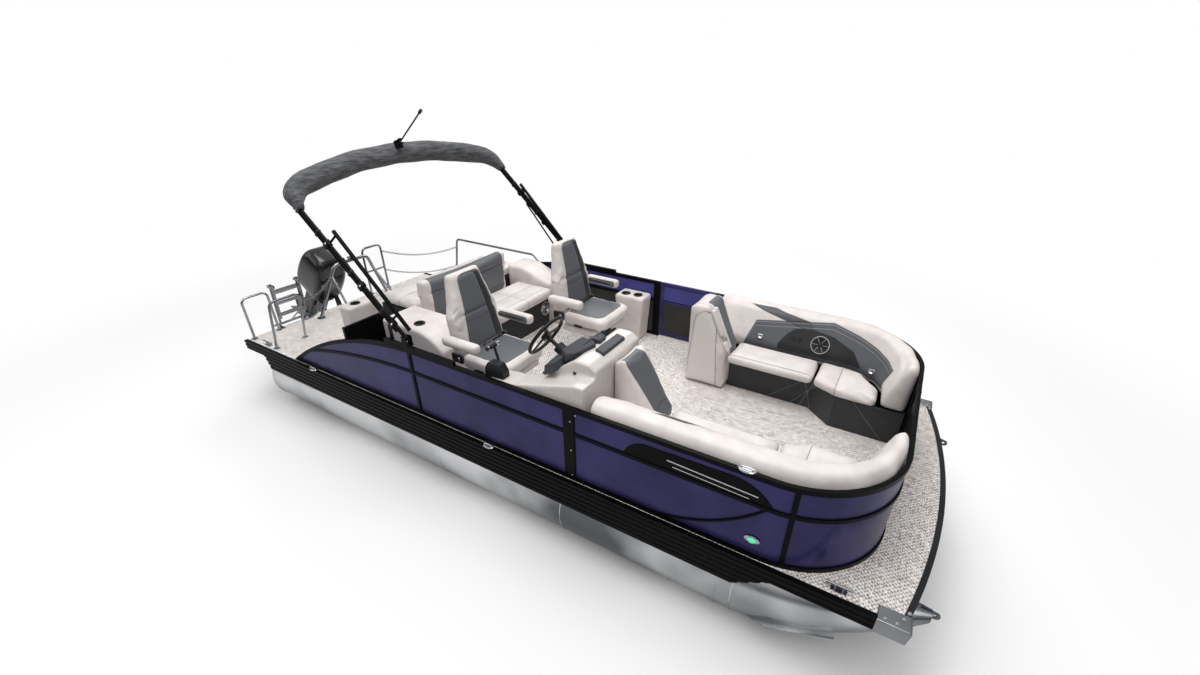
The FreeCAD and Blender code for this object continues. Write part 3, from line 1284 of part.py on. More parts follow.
hoop_tube = swept(hoop_wire(0.0), tube)
pins = [Part.makeCylinder(8, 62, V(pivot[0], side * bimini_half - 31, pivot[1]), V(0, 1, 0))
        for side in (-1, 1)]
ends = [Part.makeSphere(tube, at_frame(0, side * bimini_half)) for side in (-1, 1)]
strut_y = bimini_half - 37
strut_radius = 9.0
mast_stem = Part.makeCylinder(18, number(cell("boot_radius")) + 18, at_frame(crown_t - 12, 0), n)
mast_block = block(-35, 35, -32, 32, 0, 34)
mast_ears = [Part.makeBox(10, 36, 46, V(place, -18, 32)) for place in (-26, 16)]
mast_seat = at_frame(crown_t - 12, 0, number(cell("boot_radius")) + 12)
for made in [mast_block] + mast_ears:
    made.rotate(V(0, 0, 0), V(0, 1, 0), math.degrees(mast_fall))
    made.translate(mast_seat)
mast_pivot = mast_seat + mast_line * 60
mast_bore = Part.makeCylinder(5.3, 120, mast_pivot - mast_hinge * 60, mast_hinge)
frame_solid = hoop_tube.fuse(pins + ends + [mast_stem, mast_block] + mast_ears).cut(mast_bore)
node("bimini_frame", solid("bimini_frame", frame_solid))

brace_y = bimini_half - 50
brace_low = at_frame(40, 0, 34)
brace_high = at_frame(1035, 0, 92)
brace_half = 12.0
braces = []
for side in (-1, 1):
    y = side * brace_y
    line = brace_high - brace_low
    bar = block(0, line.Length, -brace_half, brace_half, -brace_half, brace_half)
    bar.rotate(V(0, 0, 0), V(0, 1, 0), -math.degrees(math.atan2(line.z, line.x)))
    bar.translate(V(brace_low.x, y, brace_low.z))
    jaws = []
    for share, t in ((0.16, 190.0), (0.96, 985.0)):
        near = brace_low + line * share + V(0, y, 0)
        far = at_frame(t, side * bimini_half)
        jaws.append(run([tuple(near), tuple(far)], 9))
        collar = Part.makeCylinder(tube + 7, 34, far - u * 17, u)
        jaws.append(collar)
    braces.append(bar.fuse(jaws).cut(hoop_tube))
node("bimini_braces", solid("bimini_braces", Part.makeCompound(braces)))

strut_low = origin + V(-215, 0, 45)
strut_line = V(-math.cos(math.radians(49)), 0, math.sin(math.radians(49)))
struts = []
for side in (-1, 1):
    y = side * strut_y
    low = strut_low + V(0, y, 0)
    rod = Part.makeCylinder(strut_radius, number(cell("strut_drop")), low, strut_line)
    rod = rod.fuse([Part.makeSphere(strut_radius, low),
                    Part.makeCylinder(6, 32, low - V(0, 10 if side > 0 else 22, 0), V(0, 1, 0))])
    struts.append(rod)
node("bimini_struts", solid("bimini_struts", Part.makeCompound(struts)))

bracket_rails = []
rail_y = fence_out - 14
for side in (-1, 1):
    y = side * rail_y
    made = block(pivot[0] - 270, pivot[0] + 530, y - 15, y + 15, top_z, top_z + 30)
    inner = side * (bimini_half - 31 + 3)
    outer = side * (bimini_half + 31 - 3)
    for centre in (inner, outer):
        made = made.fuse(block(pivot[0] - 28, pivot[0] + 28, centre - 3, centre + 3, top_z + 24, pivot[1] + 24))
    low_y, high_y = sorted((inner - side * 3, outer + side * 3))
    made = made.fuse(block(pivot[0] - 35, pivot[0] + 35, low_y, high_y, top_z + 24, top_z + 32))
    made = made.cut(Part.makeCylinder(8.3, 200, V(pivot[0], y - 100, pivot[1]), V(0, 1, 0)))
    low_y, high_y = sorted((side * (strut_y + 14), side * (strut_y + 20)))
    plate = block(strut_low.x - 20, strut_low.x + 20, low_y, high_y, top_z + 24, strut_low.z + 20)
    low_y, high_y = sorted((side * (strut_y + 14), side * rail_y))
    plate = plate.fuse(block(strut_low.x - 25, strut_low.x + 25, low_y, high_y, top_z + 24, top_z + 32))
    made = made.fuse(plate.cut(Part.makeCylinder(6.3, 200, V(strut_low.x, y - 100, strut_low.z), V(0, 1, 0))))
    bracket_rails.append(made)
node("bimini_rails", solid("bimini_rails", Part.makeCompound(bracket_rails)))

# The boot is thickest over the hoop's bends and gathered round the tube at its two ends
boot_line = hoop_wire(crown_t - 415.0)
boot_rings = []
boot_steps = 24
for step in range(boot_steps + 1):
    place = boot_line.Length * step / boot_steps
    edge_start = 0.0
    for edge in boot_line.OrderedEdges:
        if place <= edge_start + edge.Length + 1e-6:
            break
        edge_start += edge.Length
    at = edge.getParameterByLength(min(max(place - edge_start, 0.0), edge.Length))
    near = min(step, boot_steps - step) / boot_steps
    girth = 0.56 + 0.44 * math.sin(min(near / 0.16, 1.0) * math.pi / 2)
    boot_rings.append(ring(edge.valueAt(at), edge.tangentAt(at), girth * number(cell("boot_radius"))))
boot = Part.makeLoft(boot_rings, True)
boot = boot.cut(swept(hoop_wire(crown_t - 600.0), tube + tick))
boot = boot.cut(Part.makeCylinder(18 + tick, 2 * number(cell("boot_radius")), at_frame(crown_t - 12, 0), n))
boot = boot.cut(frame_solid)
boot = max(boot.Solids, key=lambda s: s.Volume)
node("bimini_boot", solid("bimini_boot", boot))

# Mast light, folds sideways on the hoop's crown
mast = Part.makeCylinder(7, number(cell("mast_length")), mast_pivot, mast_line)
mast_tip = mast_pivot + mast_line * (number(cell("mast_length")) - 10)
mast = mast.fuse([Part.makeCylinder(5, 62, mast_pivot - mast_hinge * 31, mast_hinge),
                  Part.makeCylinder(9, 26, mast_pivot - mast_hinge * 13, mast_hinge),
                  Part.makeCylinder(14, 40, mast_tip, mast_line)])
node("mast_light", solid("mast_light", mast))

# Outboard motor, drawn upright and then tilted up to its parking angle
motor_x = number(cell("motor_pivot_x"))
motor_z = number(cell("motor_pivot_z"))
transom = number(cell("transom_x"))
pod_top = number(cell("pod_top"))
steer_x = motor_x - 80
tilt = number(cell("motor_tilt"))
pivot_radius = 18.0
steer_radius = 22.0


def tilted(shape):
    made = shape.copy()
    made.rotate(V(motor_x, 0, motor_z), V(0, 1, 0), tilt)
    return made


ears = []
for side in (-1, 1):
    y0, y1 = sorted((side * 95, side * 125))
    ear = Part.makeCylinder(30, 30, V(motor_x, y0, motor_z), V(0, 1, 0))
    ear = ear.fuse(side_shape([(motor_x - 28, motor_z + 8), (motor_x + 28, motor_z + 8),
                               (transom + 30, pod_top + 12), (transom + 30, pod_top + tick),
                               (transom - tick, pod_top + tick), (transom - tick, pod_top - 230),
                               (transom - 34, pod_top - 230)], y0, y1))
    ears.append(ear)
clamp = ears[0].fuse([ears[1], block(transom - 26, transom - tick, -125, 125, pod_top - 210, pod_top - 20)])
clamp = clamp.cut(Part.makeCylinder(pivot_radius + tick, 400, V(motor_x, -200, motor_z), V(0, 1, 0)))
node("clamp_bracket", solid("clamp_bracket", clamp))

swivel = Part.makeCylinder(pivot_radius, 270, V(motor_x, -135, motor_z), V(0, 1, 0))
swivel = swivel.fuse([block(steer_x - 38, steer_x + 40, -55, 55, 390, motor_z + 4),
                      block(steer_x + 30, motor_x, -85, 85, motor_z - 60, motor_z + 6)])
swivel = swivel.cut(Part.makeCylinder(steer_radius + tick, 900, V(steer_x, 0, 100)))
node("swivel_bracket", solid("swivel_bracket", tilted(swivel)))

leg_depth = number(cell("motor_leg"))
shaft_z = motor_z - leg_depth - 10
cowl_low = motor_z + 48
leg_aft = steer_x - 290
leg_fore = steer_x - 82
shaft_post = Part.makeCylinder(steer_radius, cowl_low - 340 + 10, V(steer_x, 0, 340))
top_plate = block(leg_aft, steer_x + 36, -88, 88, motor_z + 26, cowl_low - 2)
low_yoke = block(leg_fore - 20, steer_x + 30, -40, 40, 342, 382)
housing = block(leg_aft + 20, leg_fore, -58, 58, 120, motor_z + 40)
housing = housing.makeFillet(28, [e for e in housing.Edges if abs(e.tangentAt(e.FirstParameter).z) > 0.9])
plate = plan_shape([(leg_aft - 110, -60), (leg_aft - 110, 60), (leg_aft + 60, 125), (leg_fore + 10, 60),
                    (leg_fore + 10, -60), (leg_aft + 60, -125)], 108, 118)
blade = side_shape([(leg_aft + 10, 122), (leg_fore + 20, 122), (leg_fore + 50, shaft_z),
                    (leg_fore - 10, shaft_z - 60), (leg_aft + 90, shaft_z - 205),
                    (leg_aft + 60, shaft_z - 205), (leg_aft + 30, shaft_z)], -14, 14)
blade_upper = side_shape([(leg_aft + 14, 122), (leg_fore + 10, 122), (leg_fore + 40, shaft_z),
                          (leg_aft + 30, shaft_z)], -30, 30)
torpedo = Part.makeCylinder(58, leg_fore - leg_aft - 20, V(leg_aft + 40, 0, shaft_z), V(1, 0, 0))
torpedo = torpedo.fuse([Part.makeCone(58, 16, 90, V(leg_fore + 20, 0, shaft_z), V(1, 0, 0)),
                        Part.makeCone(58, 40, 20, V(leg_aft + 40, 0, shaft_z), V(-1, 0, 0)),
                        Part.makeCylinder(12, 150, V(leg_aft - 110, 0, shaft_z), V(1, 0, 0))])
leg = housing.fuse([shaft_post, top_plate, low_yoke, plate, blade, blade_upper, torpedo])
node("motor_leg", solid("motor_leg", tilted(leg)))

cowl_aft = steer_x - 360
cowl_fore = cowl_aft + number(cell("cowl_length"))
cowl_half = number(cell("cowl_width")) / 2
cowl_high = cowl_low + number(cell("cowl_height"))


def rounded_ring(x0, x1, half, radius, z):
    """A level rectangle with rounded corners."""
    lift = V(0, 0, z)
    slant = radius * (1 - math.sqrt(0.5))
    spots = [((x0 + radius, -half), (x1 - radius, -half)), ((x1, -half + radius), (x1, half - radius)),
             ((x1 - radius, half), (x0 + radius, half)), ((x0, half - radius), (x0, -half + radius))]
    bends = [(x1 - slant, -half + slant), (x1 - slant, half - slant), (x0 + slant, half - slant),
             (x0 + slant, -half + slant)]
    edges = []
    for i, (a, b) in enumerate(spots):
        after = spots[(i + 1) % 4][0]
        edges.append(Part.LineSegment(V(*a) + lift, V(*b) + lift).toShape())
        edges.append(Part.Arc(V(*b) + lift, V(*bends[i]) + lift, V(*after) + lift).toShape())
    return Part.Wire(edges)


cowl_rise = number(cell("cowl_height"))
cowl_stations = [(0.0, 40, 0, 20, 70), (0.2, 5, 0, 2, 90), (0.5, 0, 5, 0, 95), (0.75, 15, 40, 10, 95),
                 (0.92, 50, 95, 42, 90), (1.0, 115, 155, 95, 75)]
shell = 26.0
cowl_rings = [rounded_ring(cowl_aft + a, cowl_fore - b, cowl_half - c, r, cowl_low + tick + share * cowl_rise)
              for share, a, b, c, r in cowl_stations]
cave_rings = [rounded_ring(cowl_aft + a + shell, cowl_fore - b - shell, cowl_half - c - shell, r - shell * 0.8,
                           cowl_low - 2 + share * (cowl_rise - shell)) for share, a, b, c, r in cowl_stations]
cowl = Part.makeLoft(cowl_rings, True, False).cut(Part.makeLoft(cave_rings, True, False))
node("motor_cowl", solid("motor_cowl", tilted(cowl)))
engine = block(cowl_aft + 95, cowl_fore - 75, -cowl_half + 65, cowl_half - 65, cowl_low, cowl_high - 240)
rim_plate = Part.Face(rounded_ring(cowl_aft + 50, cowl_fore - 10, cowl_half - 30, 60, cowl_low - 14))
rim_plate = rim_plate.extrude(V(0, 0, 14))
leg_room = block(leg_aft - tick, steer_x + 36 + tick, -88 - tick, 88 + tick, 0, cowl_low - 2 + tick)
steer_room = Part.makeCylinder(steer_radius + tick, 400, V(steer_x, 0, cowl_low - 388))
powerhead = engine.fuse(rim_plate.cut(leg_room)).cut(steer_room)
node("powerhead", solid("powerhead", tilted(powerhead)))

hub_length = 90.0
prop_x = leg_aft - 105
screw = Part.makeCylinder(40, hub_length, V(prop_x, 0, shaft_z), V(1, 0, 0))
for i in range(3):
    vane = plan_shape([(-38, 0), (-62, 90, -45, 165), (0, 186, 45, 165), (62, 90, 38, 0)], -4, 4)
    vane = vane.common(Part.makeCylinder(number(cell("prop_radius")), 20, V(0, 0, -10)))
    vane.rotate(V(0, 0, 0), V(0, 1, 0), 52)
    vane.translate(V(0, 30, 0))
    vane = vane.common(block(-200, 200, 30, number(cell("prop_radius")), -200, 200))
    vane.rotate(V(0, 0, 0), V(1, 0, 0), 120 * i)
    vane.translate(V(prop_x + hub_length / 2, 0, shaft_z))
    screw = screw.fuse(vane)
screw = screw.cut(Part.makeCylinder(12 + tick, 300, V(prop_x - 50, 0, shaft_z), V(1, 0, 0)))
node("propeller", solid("propeller", tilted(screw)))

# Every object must be valid before the pieces are written
doc.recompute()
for obj in doc.Objects:
    for state in obj.State:
        if "Invalid" in state or "Error" in state:
            raise RuntimeError(f"{obj.Name} is {state}")
for obj in nodes:
    if obj.Shape.isNull() or not obj.Shape.isValid() or not obj.Shape.Solids:
        raise RuntimeError(f"{obj.Label} has no valid shape")
os.makedirs("parts", exist_ok=True)
for obj in nodes:
    obj.Shape.exportStep(f"parts/{obj.Label}.step")
print(len(nodes), "pieces written")
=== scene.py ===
from functools import partial
import json
import math
import bmesh
import bpy
from mathutils import Matrix, Vector
from mathutils import noise as field
from mathutils.bvhtree import BVHTree

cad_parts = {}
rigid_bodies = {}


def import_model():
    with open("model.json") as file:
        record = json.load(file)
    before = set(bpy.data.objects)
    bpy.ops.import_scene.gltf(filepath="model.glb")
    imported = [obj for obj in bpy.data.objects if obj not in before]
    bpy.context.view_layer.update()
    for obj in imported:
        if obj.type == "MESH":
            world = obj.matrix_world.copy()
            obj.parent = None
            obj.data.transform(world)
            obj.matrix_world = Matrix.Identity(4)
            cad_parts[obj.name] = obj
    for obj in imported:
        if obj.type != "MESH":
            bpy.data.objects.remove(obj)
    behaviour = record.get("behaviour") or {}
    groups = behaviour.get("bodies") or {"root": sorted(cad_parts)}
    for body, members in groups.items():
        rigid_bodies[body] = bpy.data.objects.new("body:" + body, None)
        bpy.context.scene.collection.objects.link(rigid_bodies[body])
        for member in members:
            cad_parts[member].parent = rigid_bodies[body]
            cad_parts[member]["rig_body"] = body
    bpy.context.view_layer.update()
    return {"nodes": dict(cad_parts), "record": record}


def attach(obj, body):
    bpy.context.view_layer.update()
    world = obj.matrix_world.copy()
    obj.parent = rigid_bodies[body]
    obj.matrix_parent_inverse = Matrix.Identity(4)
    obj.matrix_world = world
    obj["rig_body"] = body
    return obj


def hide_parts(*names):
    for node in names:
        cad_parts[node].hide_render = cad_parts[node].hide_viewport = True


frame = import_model()
nodes = frame["nodes"]
scene = bpy.context.scene
bodyOf = {name: node["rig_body"] for name, node in nodes.items()}
slotOf = {part["node"]: part["material_slot"] for part in frame["record"]["subparts"]}


# Materials

def hexColour(text):
    # sRGB hex to the linear colour that a shader takes
    parts = [int(text[i:i + 2], 16) / 255 for i in (1, 3, 5)]
    return [c / 12.92 if c <= 0.04045 else ((c + 0.055) / 1.055) ** 2.4 for c in parts] + [1.0]


def addNode(tree, kind, *values, **settings):
    # one node: values fill its inputs in order, the rest are its own settings or inputs by name;
    # a kind in capitals is an operation of the Math node
    made = tree.nodes.new("ShaderNode" + ("Math" if kind.isupper() else kind))
    if kind.isupper():
        made.operation = kind
    stops = settings.pop("stops", [])
    for name, value in [*enumerate(values), *settings.items()]:
        if isinstance(name, str) and name[0].islower():
            setattr(made, name, value)
            continue
        socket = made.inputs[name if isinstance(name, int) else name.replace("_", " ")]
        if isinstance(value, bpy.types.Node):
            tree.links.new(value.outputs[0], socket)
        elif isinstance(value, bpy.types.NodeSocket):
            tree.links.new(value, socket)
        elif value is not None:
            socket.default_value = hexColour(value) if isinstance(value, str) else value
    ramp = made.color_ramp.elements if stops else []
    while len(ramp) < len(stops):
        ramp.new(0.5)
    for index, (spot, colour) in enumerate(stops):
        ramp[index].position = spot
        ramp[index].color = hexColour(colour)
    return made


def startMaterial(name, **fixed):
    # a new material, the function that adds its nodes, and the Object coordinates
    made = bpy.data.materials.new(name)
    made.use_nodes = True
    for key, value in fixed.items():
        made.node_tree.nodes["Principled BSDF"].inputs[key.replace("_", " ")].default_value = value
    add = partial(addNode, made.node_tree)
    return made, add, add("TexCoord").outputs["Object"]


def finishMaterial(made, base, normal, roughness=None):
    shader = made.node_tree.nodes["Principled BSDF"]
    for socket, node in (("Base Color", base), ("Normal", normal), ("Roughness", roughness)):
        if node is not None:
            made.node_tree.links.new(node.outputs[0], shader.inputs[socket])
    return made


vinylPlan = {
    "grainMm": 3.5, "grainDepth": 0.0005, "creaseMm": 110, "creaseDepth": 0.003, "threadMm": 9.0,
    "seam": (0.0012, 0.0045), "join": (0.001, 0.005), "joinColour": "#242528", "grooveDepth": 0.004,
    "edge": (-0.0008, 0.0008), "threadInset": 0.011, "thread": "#b9b5b1", "threadSpan": (0.0008, 0.0018),
    "threadShare": 0.7, "stitchFrom": -0.4, "chevronInset": 0.006,
}


def vinyl(name, colour, shade, roughness=0.46, panels=(), seams=(), seamColour="#4b4744"):
    # expanded marine vinyl on foam: pebbled grain (drawn at 3.5 mm so that it shows), slow creases, a soft sheen
    plan = vinylPlan
    made, add, place = startMaterial(name, Roughness=roughness, Sheen_Weight=0.08)
    tint = add("TexNoise", Vector=place, Scale=7.0, Detail=3.0)
    base = add("ValToRGB", tint, stops=[(0.32, shade), (0.62, colour)])
    crease = add("TexNoise", Vector=place, Scale=1000 / plan["creaseMm"], Detail=2.0)
    normal = add("Bump", Height=crease, Strength=0.35, Distance=plan["creaseDepth"])
    xyz = add("SeparateXYZ", place).outputs
    for panel in panels:
        sew = sewBolster if panel is bolsterPlan else sewPanel
        base, normal = sew(add, xyz, panel, base, normal)
    for axis, spot, slopeAxis, slope in seams:  # a seam lies where axis = spot + slope * slopeAxis
        far = add("ABSOLUTE", add("SUBTRACT", xyz[axis], add("MULTIPLY_ADD", xyz[slopeAxis], slope, spot)))
        base, normal = sinkLine(add, far, plan["seam"], 0.5, seamColour, base, normal)
    grain = add("TexVoronoi", Vector=place, Scale=1000 / plan["grainMm"])
    normal = add("Bump", Height=grain, Strength=0.22, Distance=plan["grainDepth"], Normal=normal)
    return finishMaterial(made, base, normal)


def sinkLine(add, far, span, share, colour, base, normal):
    # a sunk and darkened line where far is near nought
    groove = add("MapRange", far, *span, 1.0, 0.0)
    base = add("MixRGB", add("MULTIPLY", groove, share), base, colour)
    depth = vinylPlan["grooveDepth"]
    return base, add("Bump", Height=groove, Strength=0.9, Distance=depth, Normal=normal, invert=True)


def sewPanel(add, xyz, panel, base, normal):
    # a rounded panel of another colour, let into the vinyl, with a sunk join and a row of thread inside it
    plan = vinylPlan
    u, v = (xyz[axis] for axis in panel["axes"])
    (cu, cv), (hu, hv), r = panel["centre"], panel["half"], panel["radius"]
    lift = add("SUBTRACT", v, cv)
    wide = add("MULTIPLY_ADD", lift, -panel.get("taper", 0.0), hu - r)
    middle = add("MULTIPLY_ADD", lift, panel.get("skew", 0.0), cu)
    side = add("ABSOLUTE", add("SUBTRACT", u, middle))
    qu = add("SUBTRACT", side, wide)
    qv = add("SUBTRACT", add("ABSOLUTE", lift), hv - r)
    flat = add("CombineXYZ", add("MAXIMUM", qu, 0.0), add("MAXIMUM", qv, 0.0), 0.0)
    far = add("VectorMath", flat, operation="LENGTH").outputs["Value"]
    near = add("MINIMUM", add("MAXIMUM", qu, qv), 0.0)
    d = add("SUBTRACT", add("ADD", far, near), r)
    if "facing" in panel:  # only beyond a slanted plane, so that the back of the pad stays plain
        axis, spot, slopeAxis, slope = panel["facing"]
        lean = add("MULTIPLY_ADD", xyz[slopeAxis], slope, spot)
        d = add("MAXIMUM", d, add("SUBTRACT", lean, xyz[axis]))
    if "within" in panel:  # only this near to a middle line, for the inner faces of a pair
        axis, spot, reach = panel["within"]
        far = add("ABSOLUTE", add("SUBTRACT", xyz[axis], spot))
        d = add("MAXIMUM", d, add("SUBTRACT", far, reach))
    base = add("MixRGB", add("MapRange", d, *plan["edge"], 1.0, 0.0), base, panel["colour"])
    edge = add("ABSOLUTE", d)
    for spot, slope in panel.get("chevrons", ()):  # a seam across the panel, bent at its middle
        far = add("ABSOLUTE", add("SUBTRACT", v, add("MULTIPLY_ADD", side, slope, spot)))
        edge = add("MINIMUM", edge, add("MAXIMUM", far, add("ADD", d, plan["chevronInset"])))
    base, normal = sinkLine(add, edge, plan["join"], 0.6, plan["joinColour"], base, normal)
    row = add("MapRange", add("ABSOLUTE", add("ADD", d, plan["threadInset"])), *plan["threadSpan"], 1.0, 0.0)
    run = add("MULTIPLY", add("ADD", u, v), 2000 * math.pi / plan["threadMm"])
    dash = add("GREATER_THAN", add("SINE", run), plan["stitchFrom"])
    thread = add("MULTIPLY", add("MULTIPLY", row, dash), plan["threadShare"])
    return add("MixRGB", thread, base, panel["thread"]), normal


# The bolsters' inner face: where its corner turns, its lean, and its lines as (side kept, height, slope, spot)
bolsterPlan = {
    "turnX": 5.75, "turnY": 0.59, "widen": 0.32, "end": 0.62, "lean": 0.575, "face": -0.361,
    "field": ((1, 1.354, 3.0, 5.014), (1, 1.355, 0.15, 5.2), (1, 1.419, -0.24, 5.7)), "fieldColour": "#55585d",
    "strap": ((1, 1.459, -0.128, 4.984), (-1, 1.446, -0.2, 4.878), (1, 1.36, -1.6, 5.5)), "strapColour": "#45474b",
    "threads": (0.012, 0.045), "threadSpan": (0.0008, 0.002), "threadInset": 0.002,
}


def sewBolster(add, xyz, plan, base, normal):
    # a charcoal field and a grey strap that falls across it, on the inner face only
    x, y, z = xyz
    ahead = add("MAXIMUM", add("SUBTRACT", x, plan["turnX"]), 0.0)
    aside = add("MAXIMUM", add("SUBTRACT", add("ABSOLUTE", y), plan["turnY"]), 0.0)
    reach = add("VectorMath", add("CombineXYZ", ahead, aside, 0.0), operation="LENGTH").outputs["Value"]
    face = add("MULTIPLY_ADD", z, plan["lean"], plan["face"])
    face = add("MULTIPLY_ADD", ahead, plan["widen"], face)  # the pad thins round the bow
    beyond = add("SUBTRACT", reach, face)  # above nought: not on the inner face
    limit = add("MAXIMUM", beyond, add("SUBTRACT", plan["end"], add("ABSOLUTE", y)))
    drawn, edges = [], []
    for lines in (plan["field"], plan["strap"]):
        d = None
        for sign, level, slope, spot in lines:  # sign 1: below the line, -1: above it
            line = add("MULTIPLY_ADD", add("SUBTRACT", x, spot), slope, level)
            over = add("MULTIPLY", add("SUBTRACT", z, line), sign)
            d = over if d is None else add("MAXIMUM", d, over)
        drawn.append(d)
        edges.append(add("MAXIMUM", d, limit))
    for d, colour in zip(edges, (plan["fieldColour"], plan["strapColour"])):
        base = add("MixRGB", add("MapRange", d, *vinylPlan["edge"], 1.0, 0.0), base, colour)
    near = add("MINIMUM", *[add("ABSOLUTE", d) for d in edges])
    base, normal = sinkLine(add, near, vinylPlan["join"], 0.6, vinylPlan["joinColour"], base, normal)
    for inset in plan["threads"]:
        row = add("MAXIMUM", add("ABSOLUTE", add("ADD", drawn[0], inset)), add("ADD", limit, plan["threadInset"]))
        row = add("MapRange", row, *plan["threadSpan"], vinylPlan["threadShare"], 0.0)
        base = add("MixRGB", row, base, vinylPlan["thread"])
    return base, normal


def metal(name, colour, dark, roughness, lines=(2, 60, 60), depth=0.0002, patch=1.3, span=(0.3, 0.65)):
    # bare or plated metal: long rolling lines, and slow patches that vary its colour at random and, on the tubes,
    # paint in bright and dark reflection streaks
    made, add, place = startMaterial(name, Metallic=1.0)
    line = add("TexNoise", Vector=add("Mapping", place, Scale=lines), Scale=4.0, Detail=4.0, Roughness=0.6)
    cloud = add("TexNoise", Vector=place, Scale=patch, Detail=3.0)
    # the patches of colour: random tone, and on the tubes painted reflection streaks
    base = add("ValToRGB", cloud, stops=[(span[0], dark), (span[1], colour)])
    rough = add("MapRange", line, 0.3, 0.7, roughness * 0.8, roughness * 1.3)
    return finishMaterial(made, base, add("Bump", Height=line, Strength=0.12, Distance=depth), rough)


def coated(name, colour, dark, roughness, metallic=0.0, coat=0.0, peelMm=8.0, depth=0.0002, paintedGlint=0.0, gloss=0.5):
    # paint, powder coat, gelcoat or moulded plastic, with its own peel or grain, and a glow in its own colour where a
    # painted glint is wanted
    made, add, place = startMaterial(name, Metallic=metallic, Coat_Weight=coat, Coat_Roughness=0.04,
                                     Emission_Color=hexColour(colour), Emission_Strength=paintedGlint,
                                     Specular_IOR_Level=gloss)
    peel = add("TexNoise", Vector=place, Scale=1000 / peelMm, Detail=2.0)
    cloud = add("TexNoise", Vector=place, Scale=3.0, Detail=2.0)
    base = add("ValToRGB", cloud, stops=[(0.3, dark), (0.7, colour)])
    rough = add("MapRange", peel, 0.3, 0.7, roughness * 0.9, roughness * 1.15)
    return finishMaterial(made, base, add("Bump", Height=peel, Strength=0.2, Distance=depth), rough)


floorPlan = {
    "yarns": [((16, 300, 1), 0), ((260, 22, 1), 7)], "weave": 0.03, "weaveShare": 0.08, "depth": 0.0008,
    "colours": [(0.42, "#857b75"), (0.47, "#c4bbb4"), (0.52, "#e9e2dd"), (0.58, "#faf7f5")],
}


def weaveOf(add, ways, period):
    # the product of two waves, a basket weave
    return add("MULTIPLY", *[add("SINE", add("MULTIPLY", way, 2 * math.pi / period)) for way in ways])


def wovenFloor():
    # woven vinyl: long yarns both ways, pale with dark and tan ones among them, in a basket of 15 mm bundles
    plan = floorPlan
    made, add, place = startMaterial("wovenVinylFloor", Roughness=0.7, Specular_IOR_Level=0.3)
    yarns = [add("TexNoise", Vector=add("Mapping", place, (shift, shift, 0), Scale=scale), Scale=1.0, Detail=2.0,
                 Roughness=0.6) for scale, shift in plan["yarns"]]
    bundle = weaveOf(add, add("SeparateXYZ", place).outputs[:2], plan["weave"])
    mixed = add("MULTIPLY", add("ADD", *yarns), 0.5)
    mixed = add("MULTIPLY_ADD", bundle, plan["weaveShare"], mixed)
    normal = add("Bump", Height=bundle, Strength=0.3, Distance=plan["depth"])
    normal = add("Bump", Height=mixed, Strength=0.4, Distance=plan["depth"], Normal=normal)
    return finishMaterial(made, add("ValToRGB", mixed, stops=plan["colours"]), normal)


canvasPlan = {
    "weave": 0.006, "weaveDepth": 0.0005, "foldDepth": 0.025, "folds": (17, 4, 17),
    # colours run from the fold hollows, darkened as painted shade, to the ridges, lightened as painted light
    "colours": [(0.28, "#3a3b3d"), (0.5, "#515255"), (0.75, "#6a6b6e")],
}


def bootCanvas():
    # solution-dyed canvas, matt: a plain weave drawn at 6 mm so that it shows, with painted shade in the hollows of
    # its folds and painted light on their ridges
    plan = canvasPlan
    made, add, place = startMaterial("bootCanvas", Roughness=0.85, Sheen_Weight=0.12)
    x, y, z = add("SeparateXYZ", place).outputs
    weave = weaveOf(add, (y, add("ADD", x, z)), plan["weave"])
    folds = add("TexNoise", Vector=add("Mapping", place, Scale=plan["folds"]), Scale=2.0, Detail=3.0)
    normal = add("Bump", Height=folds, Strength=1.0, Distance=plan["foldDepth"])
    normal = add("Bump", Height=weave, Strength=0.3, Distance=plan["weaveDepth"], Normal=normal)
    # the colour follows the fold height: painted shade in the hollows, painted light on the ridges
    return finishMaterial(made, add("ValToRGB", folds, stops=plan["colours"]), normal)


creamTone = ("#dfd8d5", "#d2cac6")
materials = {
    # the tubes' strong patches from dark to bright are painted reflection streaks along them
    "tube_aluminium": metal("millAluminium", "#f6f7f8", "#707377", 0.2, lines=(1.2, 30, 30), patch=0.8,
                            span=(0.4, 0.6)),
    "deck_vinyl": wovenFloor(),
    "black_frame": coated("blackPowderCoat", "#060607", "#040405", 0.36, gloss=0.1),
    "bow_strip": coated("greyRubRail", "#232428", "#1a1b1e", 0.5, gloss=0.25),
    "bright_steel": metal("polishedStainless", "#b4b7bb", "#6d7074", 0.12, lines=(20, 20, 20), depth=0.0001),
    "violet_panel": coated("violetMetallicPaint", "#3d3872", "#2d2958", 0.3, metallic=0.4, coat=0.16,
                           gloss=0.25),
    "console_shell": coated("creamGelcoat", "#d5cfca", "#cbc4be", 0.28, coat=0.5),
    "dash_black": coated("blackMouldedPlastic", "#1b1c1f", "#121315", 0.5, peelMm=4.0, gloss=0.35),
    "wheel_black": coated("blackRimFoam", "#141415", "#0d0d0e", 0.42, peelMm=4.0, gloss=0.35),
    "cast_silver": metal("satinCastAluminium", "#e6e7e9", "#85898e", 0.2, lines=(14, 14, 14), depth=0.0006,
                         patch=9.0),
    "seat_grey": vinyl("charcoalVinyl", "#66696e", "#585b60"),
    "seat_cream": vinyl("creamVinyl", *creamTone),
    "base_plastic": coated("charcoalMouldedBase", "#2b2d31", "#202225", 0.55, peelMm=6.0, gloss=0.35),
    "canvas": bootCanvas(),
    "motor_metal": coated("motorEnamel", "#1b1c1f", "#121315", 0.3, coat=0.4),
    "cowl_black": coated("cowlEnamel", "#0e0e10", "#08080a", 0.22, coat=0.6),
    "prop_steel": metal("castStainless", "#cfd0d3", "#a5a7ab", 0.22),
}
